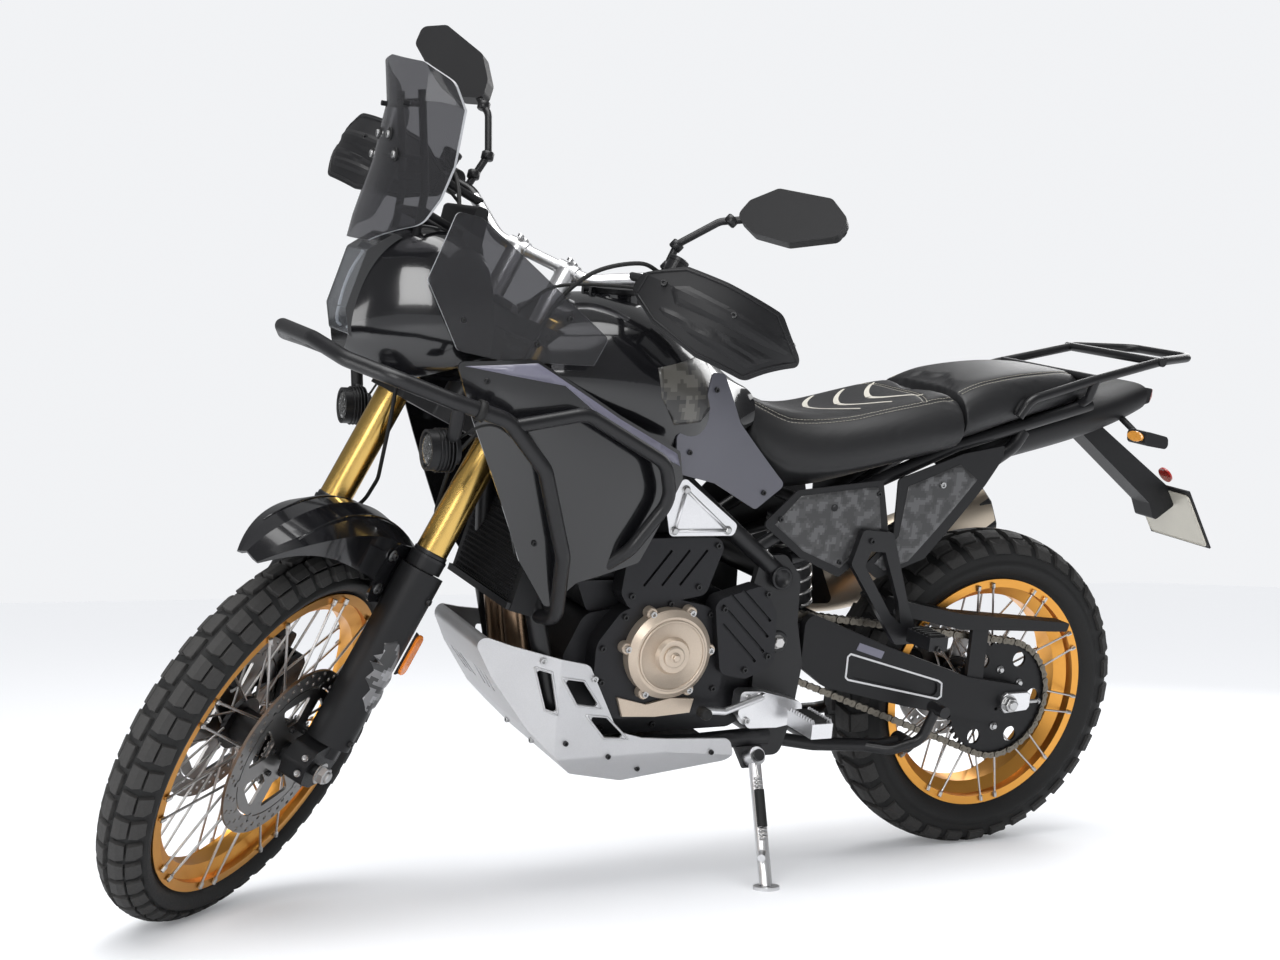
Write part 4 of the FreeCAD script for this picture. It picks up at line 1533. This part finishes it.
def lowest_of_tyre(turned_place, outline):
    """The height of a tyre's lowest point, for a wheel whose placement is given."""
    slope = turned_place.Rotation.multVec(Y).z
    upright = math.sqrt(1 - slope ** 2)
    return turned_place.Base.z - max(point.x * upright + point.y * slope for point in outline)


def stance(pitch):
    return Placement(ORIGIN, Rotation(X, -size.lean_angle) * Rotation(Y, pitch))


def tyre_heights(pitch):
    turn = stance(pitch)
    front = lowest_of_tyre(turn * STEERED_FORK * Placement(X * size.axle_ahead, Rotation()),
                           TYRE_OUTLINES["front_tyre_ring"])
    rear = lowest_of_tyre(turn * Placement(REAR_AXLE, Rotation()), TYRE_OUTLINES["rear_tyre_ring"])
    return front, rear


def level_pitch():
    """Halves the interval until both tyres stand on one level."""
    low, high = -4.0, 4.0
    for _ in range(50):
        middle = (low + high) / 2
        front, rear = tyre_heights(middle)
        if front > rear:
            low = middle
        else:
            high = middle
    return (low + high) / 2


pitch = level_pitch()
ground = tyre_heights(pitch)[1]
STAND = Placement(Z * -ground, Rotation()) * stance(pitch)
PLACES = {"steering": STAND * STEERED_FORK,
          "front_wheel": STAND * STEERED_FORK * Placement(X * size.axle_ahead, Rotation()),
          "rear_wheel": STAND * Placement(REAR_AXLE, Rotation())}
print("stance pitch", pitch, "ground", ground)

# The stand's foot: a flat plate level with the ground, at the end of the leg
foot_spot = STAND.inverse().multVec(Vector(*STAND.multVec(STAND_FOOT_SPOT + Z * size.stand_foot_height)[:2], 0))
foot_rise = Placement(foot_spot, STAND.Rotation.inverted())
foot_plate = bound("Part::Cylinder", "stand_foot", foot_rise, Radius="2 * side_leg_radius", Height="side_leg_radius / 2")
foot_neck = rod("stand_neck", STAND_PIVOT + stand_down * 0.9, foot_spot + STAND.Rotation.inverted().multVec(Z) * (
    size.side_leg_radius / 3), "0.8 * side_leg_radius")
side_stand_raw = cut("side_stand_whole", fuse("side_stand_solid", stand_eye, stand_leg, stand_hook, foot_plate, foot_neck),
                     pin_bore)
node(side_stand_raw, "side_stand", "side_stand")
print("stand axis", stand_axis, "fold", stand_fold, "foot", foot_spot)

doc.recompute()


# Relief: where two pieces of one body meet, the first named is cut back round the others

RELIEF = {
    "fork_guards": ["fork_legs"],
    "front_mudguard": ["fork_legs"],
    "front_calipers": ["fork_legs"],
    "yokes": ["fork_tubes"],
    "handlebar": ["yokes"],
    "bar_controls": ["handlebar"],
    "hand_guards": ["handlebar", "bar_controls"],
    "mirrors": ["handlebar", "bar_controls", "hand_guards"],
    "brake_hoses": ["fork_tubes", "fork_legs", "front_calipers", "yokes", "handlebar"],
    "subframe": ["main_frame"],
    "fuel_tank": ["main_frame"],
    "engine": ["main_frame"],
    "engine_covers": ["engine"],
    "exhaust": ["main_frame", "engine"],
    "silencer": ["exhaust"],
    "crash_bars": ["main_frame"],
    "radiator": ["main_frame", "crash_bars", "exhaust"],
    "shock": ["main_frame", "swingarm", "subframe"],
    "skid_plate": ["main_frame", "exhaust"],
    "rear_rack": ["subframe"],
    "instrument_tower": ["main_frame"],
    "headlamp": ["main_frame", "instrument_tower"],
    "nose_cowl": ["main_frame", "instrument_tower", "headlamp"],
    "windscreen": ["instrument_tower", "side_fairings"],
    "fog_lamps": ["crash_bars"],
    "side_fairings": ["crash_bars"],
    "tank_panels": ["fuel_tank"],
    "seat_front": ["subframe", "fuel_tank"],
    "seat_rear": ["subframe", "rear_rack"],
    "foot_pegs": ["subframe", "exhaust", "silencer"],
    "foot_controls": ["exhaust", "foot_pegs"],
    "side_panels": ["main_frame", "subframe", "foot_pegs"],
    "tail_cowl": ["subframe", "rear_rack"],
    "rear_lamps": ["tail_cowl"],
    "plate_holder": ["tail_cowl", "rear_lamps"],
    "chain_guard": ["swingarm"],
}

doc.recompute()
for item, body in NODES:
    if item.Shape.isNull() or not item.Shape.isValid():
        print("BAD", item.Label)
done = {}
finished = []
for item, body in NODES:
    label = item.Label
    for other in RELIEF.get(label, ()):
        item = cut(f"{label}_round_{other}", item, done[other])
    item.Label = label + "_upright"
    done[label] = item
    finished.append((gather(label + "_placed", item), body, label))
doc.recompute()

for item, body, label in finished:
    item.Label = label
    item.Placement = PLACES.get(body, STAND)
doc.recompute()

whole = FreeCAD.BoundBox()
for item, body, label in finished:
    whole.add(item.Shape.optimalBoundingBox(False, False))
centring = Placement(Vector(-whole.Center.x, -whole.Center.y, -whole.ZMin), Rotation())
for item, body, label in finished:
    item.Placement = centring * item.Placement
doc.recompute()

faults = [item.Name for item in doc.Objects if "Invalid" in item.State or "Error" in item.State]
for item, body, label in finished:
    if item.Shape.isNull() or not item.Shape.isValid() or not item.Shape.Solids:
        faults.append(label)
if faults:
    raise RuntimeError("failed: " + ", ".join(faults))

os.makedirs("parts", exist_ok=True)
for item, body, label in finished:
    item.Shape.exportStep(f"parts/{label}.step")
    corner = item.Shape.BoundBox
    print(label, body, "solids", len(item.Shape.Solids), "volume", round(item.Shape.Volume),
          "x", round(corner.XMin), round(corner.XMax), "y", round(corner.YMin), round(corner.YMax),
          "z", round(corner.ZMin), round(corner.ZMax))
print("centring", centring.Base)


# The joints' and mounts' places in the finished frame, printed for the record

def told(name, place, point, direction):
    """Prints a point and a direction after the stance."""
    spot, line = place.multVec(point), place.Rotation.multVec(direction)
    print("PLACE", name, *[round(value, 5) for value in (*spot, *line)])


stood, steered = centring * STAND, centring * STAND * STEERED_FORK
told("steering", steered, ORIGIN, Z)
told("front_wheel", steered, X * size.axle_ahead, Y)
told("rear_wheel", stood, REAR_AXLE, Y)
told("side_stand", stood, STAND_PIVOT, stand_axis)
told("centre_stand", stood, CENTRE_PIVOT, Y * -1)
told("fuel_lid", stood, lid_hinge, Y)
